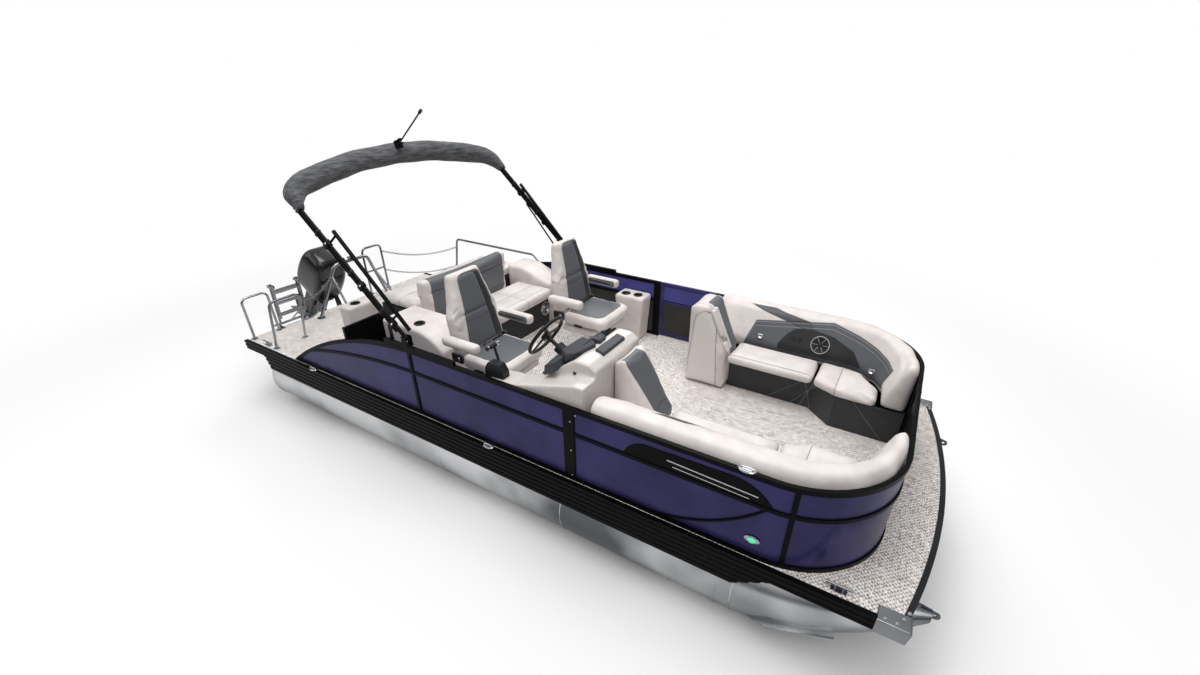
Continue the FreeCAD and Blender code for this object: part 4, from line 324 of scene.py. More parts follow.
loungeBaseVinyl = vinyl("loungeBaseVinyl", "#2c2e31", "#232528", 0.5, seamColour="#a9abae", seams=[
    (0, 4.46, 2, 1.1), (0, 4.93, 2, 0.75), (0, 6.98, 2, -0.95), (0, 5.93, 2, -0.35), (0, 5.35, 2, 0.3)])
blackPlastic = coated("blackGlassNylon", "#1a1b1d", "#121314", 0.42)
screenGlass = coated("darkScreen", "#0a0b0d", "#060708", 0.06, coat=1.0)
# the green and red lenses glow: a painted glint
greenLens = coated("greenLens", "#2fd39a", "#27b883", 0.15, coat=1.0, paintedGlint=0.9)
redLens = coated("redLens", "#c22f36", "#a5262d", 0.15, coat=1.0, paintedGlint=0.5)
innerViolet = coated("violetInnerSkin", "#4a4b93", "#3f407f", 0.4, metallic=0.2, gloss=0.35)
liningFabric = coated("liningFabric", "#3c3c38", "#32322f", 0.75, peelMm=5.0, depth=0.0005, gloss=0.25)
silverTrim = metal("satinSilver", "#dcdde0", "#b8babf", 0.2)
slatePlastic = coated("slateDashPad", "#42444a", "#383a3f", 0.5, peelMm=4.0, gloss=0.35)
webbing = coated("blackWebbing", "#1c1d20", "#131416", 0.8, peelMm=3.0, depth=0.0006)
print("materials:", len(bpy.data.materials))


# Camera, floor and lights

cameraPlan = {"place": (6.058, -3.523, 3.346), "azimuth": 30.887, "elevation": 29.804, "roll": 0.195,
              "lens": 15.28, "shift": (-0.0076, 0.0222), "sensor": 36, "farthest": 200}


def makeCamera():
    plan = cameraPlan
    data = bpy.data.cameras.new("camera")
    data.lens = plan["lens"]
    data.sensor_width = plan["sensor"]
    data.shift_x, data.shift_y = plan["shift"]
    data.clip_end = plan["farthest"]
    camera = bpy.data.objects.new("camera", data)
    camera.matrix_world = Matrix.Translation(plan["place"])
    for angle, axis in ((plan["azimuth"], "Z"), (90 - plan["elevation"], "X"), (plan["roll"], "Z")):
        camera.matrix_world = camera.matrix_world @ Matrix.Rotation(math.radians(angle), 4, axis)
    scene.collection.objects.link(camera)
    scene.camera = camera


# The floor shows its shadow near the boat and fades to plain white; the boat itself sees a duller floor and sky
studioPlan = {
    "floor": "#fbfbfb", "bounce": "#c8c8c8", "size": 60, "middle": (3.0, 0.0, 0.0), "fade": (4.6, 8.5),
    "sky": [(0.0, "#6a6b6e"), (0.14, "#77787b"), (0.34, "#d9dadb"), (0.8, "#f2f2f3")], "skyStrength": 0.62,
}


def makeStudio():
    plan = studioPlan
    bm = bmesh.new()
    bmesh.ops.create_grid(bm, x_segments=1, y_segments=1, size=plan["size"])
    floor = meshObject("studioFloor", bm, None)
    made, add, place = startMaterial("studioFloorPaint", Roughness=0.9, Base_Color=hexColour(plan["bounce"]),
                                     Specular_IOR_Level=0.0)
    lit = add("BsdfDiffuse", plan["floor"])
    reach = add("VectorMath", place, plan["middle"], operation="DISTANCE").outputs["Value"]
    fade = add("MapRange", reach, *plan["fade"], 0.0, 1.0, interpolation_type="SMOOTHSTEP")
    shown = add("MixShader", fade, lit, add("Emission", "#ffffff", 1.0))
    seen = add("MixShader", add("LightPath").outputs["Is Camera Ray"], made.node_tree.nodes["Principled BSDF"], shown)
    made.node_tree.links.new(seen.outputs[0], made.node_tree.nodes["Material Output"].inputs["Surface"])
    floor.data.materials.append(made)
    world = bpy.data.worlds.new("studio")
    scene.world = world
    world.use_nodes = True
    add = partial(addNode, world.node_tree)
    height = add("SeparateXYZ", add("TexCoord").outputs["Generated"]).outputs[2]
    light = add("Background", add("ValToRGB", height, stops=plan["sky"]), plan["skyStrength"])
    blend = add("MixShader", add("LightPath").outputs["Is Camera Ray"], light, add("Background", "#ffffff", 1.0))
    world.node_tree.links.new(blend.outputs[0], world.node_tree.nodes["World Output"].inputs["Surface"])


# Area lamps of 6 m, each as (place, aim, watts)
lampPlan = {
    "keyLamp": ((8.5, -5.5, 9.0), (3.2, 0, 0.9), 190), "fillLamp": ((-4.5, -6.0, 6.0), (3.2, 0, 0.9), 90),
    "rimLamp": ((1.0, 7.5, 7.5), (3.2, 0, 0.9), 300), "topLamp": ((3.5, -0.5, 9.5), (3.2, 0, 0.0), 480),
}


def makeLamps():
    for name, (place, aim, power) in lampPlan.items():
        data = bpy.data.lights.new(name, "AREA")
        data.energy = power
        data.size = 6.0
        lamp = bpy.data.objects.new(name, data)
        lamp.location = place
        lamp.rotation_euler = (Vector(aim) - Vector(place)).to_track_quat("-Z", "Y").to_euler()
        scene.collection.objects.link(lamp)
    scene.view_settings.view_transform = "Standard"


def meshObject(name, bm, material, body=None):
    data = bpy.data.meshes.new(name)
    bm.to_mesh(data)
    bm.free()
    made = bpy.data.objects.new(name, data)
    scene.collection.objects.link(made)
    if material is not None:
        data.materials.append(material)
    if body:
        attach(made, body)
    return made


makeCamera()
makeStudio()
makeLamps()
print("camera, floor and lamps set")


# The pads: cream shells with charcoal centres, and a black flank on the port side of each chair's back

def panel(axes, centre, half, radius, **more):
    # a charcoal panel with grey thread, unless told otherwise
    plain = {"axes": axes, "centre": centre, "half": half, "radius": radius, "colour": "#5a5d62", "thread": "#8d9094"}
    return {**plain, **more}


def chairPads(who, cx, cy):
    front = (0, cx + 0.016, 2, -0.158)  # a plane inside the leaning back, ahead of its middle
    pale = vinylPlan["thread"]
    return {
        who + "SeatPad": {"source": who + "_seat", "cap": 0.014, "voxel": 0.0132, "panels": [
            panel((0, 1), (cx + 0.07, cy), (0.205, 0.215), 0.07, facing=(2, 1.262, 0, 0.0))]},
        who + "BackPad": {
            "source": who + "_back", "cap": 0.014, "voxel": 0.0132, "seams": [(2, 1.6, 1, 0.0)], "panels": [
                panel((1, 2), (cy + 0.032, 1.585), (0.165, 0.33), 0.05, taper=0.14, colour="#232528", facing=front,
                      thread=pale),
                panel((1, 2), (cy - 0.006, 1.585), (0.128, 0.325), 0.04, taper=0.1, facing=front,
                      chevrons=[(1.6, 0.35), (1.53, 0.12)])]},
        who + "ArmPads": {"source": who + "_arms", "cap": 0.008, "voxel": 0.011, "panels": [
            panel((0, 2), (cx - 0.04, 1.451), (0.155, 0.026), 0.02, colour="#3c3f43", within=(1, cy, 0.304),
                  thread=pale)]},
    }


chairs = {"helm": (3.23, -0.7), "mate": (3.44, 0.45)}
padPieces = {
    **chairPads("helm", *chairs["helm"]), **chairPads("mate", *chairs["mate"]),
    "benchSeatPad": {"source": "bench_seat", "cap": 0.016, "rest": 1.08, "seams": [
        (0, 2.6, 1, 0.0), (0, 2.42, 1, 0.0), (1, -0.03, 0, 0.0), (1, 0.42, 0, 0.0)]},
    "benchBackPad": {"source": "bench_back", "cap": 0.02, "seams": [(2, 1.46, 1, 0.0)], "panels": [
        panel((1, 2), (0.11, 1.42), (0.515, 0.24), 0.05, facing=(0, 2.525, 2, -0.35),
              chevrons=[(1.47, 0.0), (1.24, 0.0)])]},
    "sunpadPad": {"source": "sunpad", "cap": 0.016, "rest": 1.2, "voxel": 0.02, "seams": [
        (0, 1.665, 1, 0.0), (1, 0.08, 0, 0.0), (1, 0.6, 0, 0.0)]},
    "portLoungePad": {"source": "lounge_seat_port", "cap": 0.014, "rest": 1.04, "seams": [(1, 0.525, 0, 0.0)]},
    "starboardLoungePad": {"source": "lounge_seat_starboard", "cap": 0.014, "rest": 1.04,
                           "seams": [(1, -0.525, 0, 0.0)]},
    "bowPads": {"source": "bow_cushions", "cap": 0.014, "rest": 1.04, "seams": [(0, 5.84, 1, 0.0)]},
    "towerPad": {
        "source": "lounge_tower", "cap": 0.012, "drawn": [(1, 0.545, 0, 0.0), (1, 0.792, 0, 0.0)], "panels": [
            panel((1, 2), (0.7, 1.34), (0.105, 0.3), 0.04, facing=(0, 5.396, 2, -0.488),
                  chevrons=[(1.44, 0.25), (1.36, 0.25), (1.26, 0.2)]),
            panel((0, 2), (4.665, 1.1), (0.13, 0.4), 0.09, taper=0.1, colour=creamTone[0], within=(1, 0.49, 0.03),
                  thread=vinylPlan["thread"])]},
    "consoleRestPad": {"source": "console_backrest", "cap": 0.012, "panels": [
        panel((1, 2), (-0.655, 1.33), (0.122, 0.27), 0.05, skew=-0.15, facing=(0, 5.423, 2, -0.564),
              chevrons=[(1.24, -0.25)])]},
    "bolsterPads": {"source": "bolsters", "cap": 0.012, "voxel": 0.0235, "panels": [bolsterPlan]},
}


# Solids of the frame, merged and smoothed where they are round

skinPlan = {"mergeGap": 0.00002, "crease": 32.0, "castingFrom": (6.35, 1.1), "castingBevel": 0.007}


def mergedCopy(node):
    bm = bmesh.new()
    bm.from_mesh(nodes[node].data)
    bmesh.ops.remove_doubles(bm, verts=bm.verts, dist=skinPlan["mergeGap"])
    return bm


def softenEdges(bm, angle):
    # soft normals, and a hard edge where the faces turn by more than the angle
    for face in bm.faces:
        face.smooth = True
    for edge in bm.edges:
        if not edge.is_manifold or edge.calc_face_angle(0) > math.radians(angle):
            edge.smooth = False


def smoothCopy(node, material):
    bm = mergedCopy(node)
    softenEdges(bm, skinPlan["crease"])
    for face in bm.faces:
        face.material_index = 0
    if node == "deck_fittings":  # the bow castings have rounded corners
        x, y = skinPlan["castingFrom"]
        rim = [edge for edge in bm.edges
               if not edge.smooth and all(v.co.x > x and abs(v.co.y) > y for v in edge.verts)]
        bmesh.ops.bevel(bm, geom=rim, offset=skinPlan["castingBevel"], segments=2, profile=0.5, affect="EDGES",
                        material=-1, clamp_overlap=True)
    standIn(meshObject(node + "Skin", bm, material, bodyOf[node]), node)


def standIn(made, node):
    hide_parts(node)


otherNodes = [plan["source"] for plan in padPieces.values()]
otherNodes += ["bimini_boot", "safety_chains", "helm_console", "seat_pods"]
for node in sorted(nodes):
    if node not in otherNodes:
        smoothCopy(node, loungeBaseVinyl if node.startswith("lounge_base") else materials[slotOf[node]])
print("frame skins made")


# Padded upholstery: a remeshed copy of each solid, blown up between its seams, its sewn panels in its vinyl

padPlan = {
    "voxel": 0.017, "smoothing": 3, "shrink": 0.3, "seamHalf": 0.009, "restHold": 0.02, "frames": 14,
    "pressure": 4.0, "quality": 4, "mass": 0.3, "fill": 0.7,
}
pads = []


def smoothPoints(bm, factor):
    bmesh.ops.smooth_vert(bm, verts=bm.verts, factor=factor, use_axis_x=True, use_axis_y=True, use_axis_z=True)


def remeshed(source, voxel, smoothing):
    rough = meshObject(source + "Rough", mergedCopy(source), None)
    remesh = rough.modifiers.new("remesh", "REMESH")
    remesh.mode = "VOXEL"
    remesh.voxel_size = voxel
    bpy.context.view_layer.update()
    solid = bpy.data.meshes.new_from_object(rough.evaluated_get(bpy.context.evaluated_depsgraph_get()))
    bpy.data.objects.remove(rough)
    bm = bmesh.new()
    bm.from_mesh(solid)
    for _ in range(smoothing):
        smoothPoints(bm, 0.5)
    bm.normal_update()
    for face in bm.faces:
        face.smooth = True
    return bm


def startPad(name, source, cap, seams=(), drawn=(), panels=(), rest=None, voxel=padPlan["voxel"]):
    # seams are planes (axis, spot, slopeAxis, slope) that stay held while the foam between them swells by the cap;
    # a vinyl with panels draws none of them, but it can have lines of its own
    look = vinyl(name.split("Pad")[0] + "Vinyl", *creamTone, panels=panels, seams=drawn if panels else seams)
    bm = remeshed(source, voxel, padPlan["smoothing"])
    for vert in bm.verts:
        vert.co -= vert.normal * cap * padPlan["shrink"]
    made = meshObject(name, bm, look, bodyOf[source])
    held = made.vertex_groups.new(name="held")
    for vert in made.data.vertices:
        co = vert.co
        pinned = rest is not None and co.z < rest + padPlan["restHold"]
        for axis, spot, slopeAxis, slope in seams:
            pinned = pinned or abs(co[axis] - spot - slope * co[slopeAxis]) < padPlan["seamHalf"]
        if pinned:
            held.add([vert.index], 1.0, "REPLACE")
    standIn(made, source)
    pads.append({"object": made, "cap": cap, "start": [v.co.copy() for v in made.data.vertices]})


def blowPads():
    # one simulation for every pad, each point's travel held to the pad's cap
    for pad in pads:
        cloth = pad["object"].modifiers.new("cloth", "CLOTH")
        cloth.settings.quality = padPlan["quality"]
        cloth.settings.mass = padPlan["mass"]
        cloth.settings.use_pressure = True
        cloth.settings.uniform_pressure_force = padPlan["pressure"]
        cloth.settings.effector_weights.gravity = 0
        cloth.settings.vertex_group_mass = "held"
        cloth.collision_settings.use_collision = False
        cloth.point_cache.frame_start = 1
        cloth.point_cache.frame_end = padPlan["frames"]
    for step in range(1, padPlan["frames"] + 1):
        scene.frame_set(step)
    graph = bpy.context.evaluated_depsgraph_get()
    for pad in pads:
        pad["end"] = [v.co.copy() for v in pad["object"].evaluated_get(graph).data.vertices]
    scene.frame_set(1)
    for pad in pads:
        pad["object"].modifiers.remove(pad["object"].modifiers["cloth"])
        for vert, start, end in zip(pad["object"].data.vertices, pad["start"], pad["end"]):
            travel = end - start
            vert.co = start + travel * min(1.0, pad["cap"] / max(travel.length, 1e-9))


def roundOff(made):
    soft = made.modifiers.new("soft", "SUBSURF")
    soft.levels = soft.render_levels = 1


def finishPads():
    for pad in pads:
        bm = bmesh.new()
        bm.from_mesh(pad["object"].data)
        smoothPoints(bm, 0.4)
        bm.to_mesh(pad["object"].data)
        bm.free()
        roundOff(pad["object"])


for name, plan in padPieces.items():
    startPad(name, **plan)
print("pads started:", len(pads))
blowPads()
finishPads()
print("pads finished")


# Canvas boot over the stowed canopy: slack folds along it, finer creases where it is gathered at its ends

bootPlan = {"voxel": 0.0165, "smoothing": 4, "sag": 0.007, "fold": 0.005, "crease": 0.006, "inset": 0.006,
            "gathered": 0.75, "gathering": 0.4, "loose": 0.25, "fill": 0.4}


def makeBoot():
    plan = bootPlan
    bm = remeshed("bimini_boot", plan["voxel"], plan["smoothing"])
    for vert in bm.verts:
        x, y, z = vert.co
        ends = min(1.0, max(0.0, (abs(y) - plan["gathered"]) / plan["gathering"]))
        sag = field.noise(Vector((x * 2.5, y * 1.6, z * 2.5))) * plan["sag"]
        fold = field.noise(Vector((x * 5 + y * 3, y * 2.4, z * 6 - y * 3))) * plan["fold"]
        share = plan["loose"] + (1 - plan["loose"]) * ends
        crease = abs(field.noise(Vector((x * 22, y * 7, z * 22)))) * plan["crease"] * share
        vert.co += vert.normal * (sag + fold - crease - plan["inset"])
    made = meshObject("canvasBoot", bm, materials["canvas"], "bimini")
    roundOff(made)
    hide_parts("bimini_boot")


makeBoot()
print("boot made")


# Small pieces that only the scene adds

def at(place, normal=(0, 0, 1), along=(1, 0, 0)):
    # a frame at a place whose Z follows the normal and whose X keeps near to the given way
    z = Vector(normal).normalized()
    y = z.cross(Vector(along)).normalized()
    return Matrix.Translation(place) @ Matrix((y.cross(z), y, z)).transposed().to_4x4()


def addBox(bm, spot, size, bevel=0.0, segments=2):
    # a box with eased edges; the plans give most of them as (size, bevel, segments)
    verts = bmesh.ops.create_cube(bm, size=1.0)["verts"]
    bmesh.ops.scale(bm, vec=size, verts=verts)
    bmesh.ops.transform(bm, matrix=spot, verts=verts)
    if bevel:
        edges = list({edge for vert in verts for edge in vert.link_edges})
        bmesh.ops.bevel(bm, geom=edges, offset=bevel, segments=segments, profile=0.5, affect="EDGES", material=-1)


def addTurned(bm, spot, profile, steps=28):
    # a profile of (radius, height) turned about the frame's Z; it starts and ends on the axis or meets itself
    verts = [bm.verts.new((r, 0, h)) for r, h in profile]
    edges = [bm.edges.new(pair) for pair in zip(verts, verts[1:])]
    bmesh.ops.spin(bm, geom=verts + edges, axis=(0, 0, 1), cent=(0, 0, 0), angle=2 * math.pi, steps=steps,
                   use_merge=True)
    fresh = {vert for edge in edges for face in edge.link_faces for vert in face.verts}
    grown = set()
    while fresh - grown:
        grown |= fresh
        fresh = {vert for old in grown for edge in old.link_edges for vert in edge.verts}
    turned = [vert for vert in grown if vert.is_valid]
    bmesh.ops.transform(bm, matrix=spot, verts=turned)
    bmesh.ops.remove_doubles(bm, verts=turned, dist=0.00003)


def addTube(bm, path, radius, sides=10):
    # a round tube through the points, its rings bridged and its ends closed
    points = [Vector(p) for p in path]
    ways = [(b - a).normalized() for a, b in zip(points, points[1:])]
    hint = Vector((0, 0, 1)) if abs(ways[0].z) < 0.9 else Vector((1, 0, 0))
    rings = []
    for index, point in enumerate(points):
        way = (ways[max(0, index - 1)] + ways[min(index, len(ways) - 1)]).normalized()
        hint = (hint - way * hint.dot(way)).normalized()
        ring = bmesh.ops.create_circle(bm, segments=sides, radius=radius, matrix=at(point, way, hint),
                                       cap_ends=index in (0, len(points) - 1))
        rings.append(ring["verts"])
    for one, two in zip(rings, rings[1:]):
        for k in range(sides):
            bm.faces.new((one[k - 1], one[k], two[k], two[k - 1]))


def addPiece(name, bm, material, node, angle=skinPlan["crease"]):
    # a finished piece that rides with the body of a frame node
    bmesh.ops.recalc_face_normals(bm, faces=bm.faces)
    softenEdges(bm, angle)
    made = meshObject(name, bm, material, bodyOf[node])
    return made


def addOutward(bm, sides, places, profile, steps=28, stretch=1.0):
    # the same turned part at mirrored places (side -1 is starboard), facing outward
    for side in sides:
        for x, y, z in places:
            spot = at((x, side * y, z), (0, side, 0)) @ Matrix.Diagonal((stretch, 1, 1, 1))
            addTurned(bm, spot, profile, steps)


def surfaceOf(data):
    return BVHTree.FromPolygons([v.co.copy() for v in data.vertices], [tuple(p.vertices) for p in data.polygons])


# Safety chains at the boarding gaps: short welded links, every second one turned on edge

chainPlan = {
    "pitch": 0.026, "long": 0.034, "wide": 0.017, "wire": 0.0034, "bend": (-1.57, -0.8, 0.0, 0.8, 1.57), "steps": 60,
    "runs": [((0.268361, -0.266885, 1.25), (0.624046, -0.88, 1.22), 0.07),
             ((0.215246, -0.381967, 0.98), (0.555597, -0.88, 0.98), 0.06),
             ((0.02, 0.62, 1.27), (0.808, 1.226, 1.29), 0.08),
             ((0.02, 0.62, 1.01), (0.754, 1.226, 1.02), 0.07)],
}


def chainRun(start, end, sag):
    # the place and the way of each link along a hanging curve
    steps = [k / chainPlan["steps"] for k in range(chainPlan["steps"] + 1)]
    curve = [start + (end - start) * t - Vector((0, 0, sag)) * (4 * t * (1 - t)) for t in steps]
    length = sum((q - p).length for p, q in zip(curve, curve[1:]))
    links = max(2, round(length / chainPlan["pitch"]))
    places, walked, target = [], 0.0, length / links / 2
    for p, q in zip(curve, curve[1:]):
        step = (q - p).length
        while walked + step >= target and len(places) < links:
            places.append((p + (q - p) * ((target - walked) / step), (q - p).normalized()))
            target += length / links
        walked += step
    return places


def makeChains():
    plan = chainPlan
    bm = bmesh.new()
    reach, bend = (plan["long"] - plan["wide"]) / 2, plan["wide"] / 2
    oval = [(reach + math.cos(t) * bend, math.sin(t) * bend) for t in plan["bend"]]
    oval += [(-x, -y) for x, y in oval]
    up = Vector((0, 0, 1))
    for start, end, sag in plan["runs"]:
        for index, (place, way) in enumerate(chainRun(Vector(start), Vector(end), sag)):
            spot = at(place, up if index % 2 else way.cross(up), way)
            addTube(bm, [spot @ Vector((x, y, 0)) for x, y in oval + oval[:2]], plan["wire"], 6)
    made = addPiece("chainLinks", bm, materials["bright_steel"], "safety_chains")
    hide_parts("safety_chains")


makeChains()
print("chains made")


# Bow: speaker inserts, switches and folding cups on the bolsters, cleats, lamps and screws on the fence

bowPlan = {
    "insert": [(5.25, 1.14), (5.25, 1.18), (5.3, 1.262), (5.365, 1.322), (5.515, 1.345), (5.7, 1.322),
               (5.886, 1.243), (5.96, 1.15), (5.96, 1.14)],
    "cuts": ((0, 5.27, 5.95), (2, 1.15, 1.34)), "cutStep": 0.02, "insertLift": 0.009, "insertSink": -0.004,
    "castFrom": 0.3, "nearestTo": 0.85,
    "speaker": (5.606, 1.24), "speakerRadius": 0.083, "speakerLift": 0.014, "facing": (0.87, 0.5),
    "switches": [(5.375, 1.243), (5.428, 1.249)], "switchLift": 0.01,
    "switch": [(0, 0.009), (0.011, 0.009), (0.014, 0.006), (0.018, 0.006), (0.019, -0.006), (0, -0.006)],
    "cups": [(5.081, 1.215), (6.06, 1.18)], "cupInset": (0.022, 0.015),
    "cup": [(0, 0.0), (0.026, 0.0), (0.026, 0.008), (0.02, 0.013), (0, 0.015)],
    "cupBar": [(-0.022, 0, 0.008), (-0.019, 0, 0.03), (0.019, 0, 0.03), (0.022, 0, 0.008)], "cupBarRadius": 0.006,
    "lamp": [(5.699, 1.236, 0.896)], "lampStretch": 1.6,
    "lampFoot": [(0, 0.0), (0.03, 0.0), (0.03, 0.003), (0.024, 0.007), (0, 0.007)],
    "lampLens": [(0, 0.006), (0.016, 0.006), (0.015, 0.011), (0.007, 0.014), (0, 0.015)],
    "screws": [(4.383, 1.2395, 1.278), (4.383, 1.2395, 0.8), (4.428, 1.2395, 1.344), (4.383, 1.2395, 1.03)],
    "screw": [(0, -0.001), (0.007, -0.001), (0.006, 0.003), (0, 0.005)],
    "cleats": [(5.597, 1.222, 1.391), (3.589, 1.268, 0.756), (1.25, 1.268, 0.756)], "cleatScale": 0.85,
    "cleat": [(0, 0.004), (0.018, 0.004), (0.02, 0.0075), (0.028, 0.0075), (0.032, 0.003), (0.032, -0.003),
              (0, -0.003)],
    "cleatBar": [(-0.05, 0.007), (-0.04, 0.014), (0.0, 0.017), (0.04, 0.014), (0.05, 0.007)],
    "cleatBarRadius": 0.0075,
}
# Shares of the speaker's radius, and heights in metres
speakerPlan = {
    "cone": [(0, 0.01), (0.12, 0.009), (0.26, 0.002), (0.3, -0.001), (0.8, 0.008), (0.86, 0.005), (0.86, -0.01),
             (0, -0.01)],
    "ring": [(0.84, 0.004), (0.88, 0.011), (0.96, 0.011), (1.0, 0.004), (1.0, -0.008), (0.84, -0.008), (0.84, 0.004)],
    "ribs": (0.28, 0.5, 0.7), "ribHalf": 0.0015, "ribHeights": (0.008, 0.0105, 0.008, 0.006, 0.008),
    "spokes": 6, "spokeMiddle": (0.55, 0.009), "spoke": (0.6, 0.003, 0.0025),
}


def addSpeaker(dish, ring, spot, radius):
    # a cone with a dome behind a ring; the grille is drawn as raised ribs and spokes
    plan = speakerPlan
    addTurned(dish, spot, [(radius * share, height) for share, height in plan["cone"]])
    for share in plan["ribs"]:
        rib = [(radius * share + plan["ribHalf"] * k, height)
               for k, height in zip((-1, 0, 1, 0, -1), plan["ribHeights"])]
        addTurned(ring, spot, rib)
    addTurned(ring, spot, [(radius * share, height) for share, height in plan["ring"]], 40)
    share, height = plan["spokeMiddle"]
    length, width, thick = plan["spoke"]
    for k in range(plan["spokes"]):
        turn = Matrix.Rotation(k * 2 * math.pi / plan["spokes"], 4, "Z")
        turn = spot @ turn @ Matrix.Translation((radius * share, 0, height))
        addBox(ring, turn, (radius * length, width, thick))


def bolsterSpot(tree, side, x, z, lift):
    # a point of the bolster's inner face, or the nearest to it, moved out along its normal
    hit, normal, _, _ = tree.ray_cast(Vector((x, side * bowPlan["castFrom"], z)), Vector((0, side, 0)))
    if hit is None:
        hit, normal, _, _ = tree.find_nearest(Vector((x, side * bowPlan["nearestTo"], z)))
    return hit + normal * lift


def insertSheet(tree, side):
    # the outline cut into a net, laid on the bolster and raised from it
    plan = bowPlan
    sheet = bmesh.new()
    sheet.faces.new([sheet.verts.new((x, 0, z)) for x, z in plan["insert"]])
    for axis, start, stop in plan["cuts"]:
        count = round((stop - start) / plan["cutStep"])
        for k in range(count + 1):
            where = [0, 0, 0]
            where[axis] = start + (stop - start) * k / count
            bmesh.ops.bisect_plane(sheet, geom=sheet.verts[:] + sheet.edges[:] + sheet.faces[:], plane_co=where,
                                   plane_no=[float(i == axis) for i in range(3)])
    rise = bmesh.ops.extrude_face_region(sheet, geom=sheet.faces[:], use_keep_orig=True)["geom"]
    raised = {item for item in rise if isinstance(item, bmesh.types.BMVert)}
    for vert in sheet.verts:
        lift = plan["insertLift"] if vert in raised else plan["insertSink"]
        vert.co = bolsterSpot(tree, side, vert.co.x, vert.co.z, lift)
    joined = bpy.data.meshes.new("insertSheet")
    sheet.to_mesh(joined)
    sheet.free()
    return joined


def makeBow():
    plan = bowPlan
    tree = surfaceOf(bpy.data.objects["bolsterPads"].data)
    inward, upward = plan["facing"]
    dark, cones, bright = bmesh.new(), bmesh.new(), bmesh.new()
    for side in (-1, 1):
        dark.from_mesh(insertSheet(tree, side))
        place = bolsterSpot(tree, side, *plan["speaker"], plan["speakerLift"])
        addSpeaker(cones, bright, at(place, (0, -side * inward, upward)), plan["speakerRadius"])
        for x, z in plan["cups"]:
            aside, down = plan["cupInset"]
            place = bolsterSpot(tree, side, x, z, 0.0) - Vector((0, side * aside, down))
            addTurned(bright, at(place), plan["cup"])
            addTube(bright, [place + Vector(p) for p in plan["cupBar"]], plan["cupBarRadius"])
    for x, z in plan["switches"]:
        place = bolsterSpot(tree, 1, x, z, plan["switchLift"])
        addTurned(cones, at(place, (0, -inward, upward)), plan["switch"])
    addPiece("bolsterInserts", dark, blackPlastic, "bolsters")
    addPiece("bowSpeakerCones", cones, materials["dash_black"], "bolsters")
    addPiece("bowBrightwork", bright, silverTrim, "bolsters")


def makeFenceFittings():
    plan = bowPlan
    scale, stretch, both = plan["cleatScale"], plan["lampStretch"], (-1, 1)
    feet, screws, cleats = bmesh.new(), bmesh.new(), bmesh.new()
    addOutward(feet, both, plan["lamp"], plan["lampFoot"], stretch=stretch)
    addOutward(screws, both, plan["screws"], plan["screw"], 14)
    for side in both:
        for x, y, z in plan["cleats"]:  # an oval foot with a low bar that pulls up
            place = Vector((x, side * y, z))
            addTurned(cleats, Matrix.Translation(place) @ Matrix.Diagonal((2 * scale, scale, 1, 1)), plan["cleat"])
            bar = [place + Vector((along * scale, 0, up)) for along, up in plan["cleatBar"]]
            addTube(cleats, bar, plan["cleatBarRadius"] * scale, 12)
    for name, bm in (("lampFeet", feet), ("fenceScrews", screws), ("cleats", cleats)):
        addPiece(name, bm, silverTrim, "fence_frame_starboard")
    for side, name, lens in ((-1, "bowLampStarboard", greenLens), (1, "bowLampPort", redLens)):
        bm = bmesh.new()
        addOutward(bm, (side,), plan["lamp"], plan["lampLens"], stretch=stretch)
        addPiece(name, bm, lens, "fence_frame_starboard")


makeBow()
makeFenceFittings()
print("bow pieces made")


# Fence inserts: two long bright lines outside near the bow, a dark lining below a violet skin inside on port

fencePlan = {
    "lines": [(5.11, 5.69, 1.247, 0.0045), (5.15, 5.64, 1.212, 0.0032)], "lineY": 1.2365, "lineDepth": 0.006,
    "lineFall": 2.2, "lineBevel": 0.0012,
    "bays": [(3.884, 4.48, "port_gate"), (2.56, 3.845, "fence_panels_port"), (4.52, 5.000, "fence_panels_port")],
    "sheets": [("Lining", 0.79, 1.185, liningFabric, "base_plastic"),
               ("Upper", 1.195, 1.35, innerViolet, "violet_panel")],
    "sheetY": 1.2195, "sheetDepth": 0.004, "sheetBevel": 0.001,
}


def makeFence():
    plan = fencePlan
    bm = bmesh.new()
    for side in (-1, 1):
        for x0, x1, z, half in plan["lines"]:
            spot = Matrix.Translation(((x0 + x1) / 2, side * plan["lineY"], z))
            spot = spot @ Matrix.Rotation(math.radians(plan["lineFall"]), 4, "Y")
            addBox(bm, spot, (x1 - x0, plan["lineDepth"], half * 2), plan["lineBevel"], 1)
    addPiece("grilleLines", bm, silverTrim, "fence_panels_starboard")
    for index, (x0, x1, node) in enumerate(plan["bays"]):
        for word, z0, z1, look, slot in plan["sheets"]:
            bm = bmesh.new()
            spot = Matrix.Translation(((x0 + x1) / 2, plan["sheetY"], (z0 + z1) / 2))
            addBox(bm, spot, (x1 - x0, plan["sheetDepth"], z1 - z0), plan["sheetBevel"], 1)
            addPiece("fence%s%d" % (word, index), bm, look, node)


makeFence()
print("fence inserts made")


# Cup wells: black rims and liners let into the pods, level with what the rim rests on

cupPlan = {
    "cups": [(2.39, -0.78), (2.6, 1.05), (1.255, -0.66), (3.53, 1.06), (3.67, 1.08)],
    "probe": 0.058, "castFrom": 2.0,
    "profile": [(0.037, -0.05), (0.041, -0.05), (0.041, 0.0), (0.051, 0.0), (0.05, 0.004), (0.04, 0.005),
                (0.037, 0.002), (0.037, -0.05)],
}


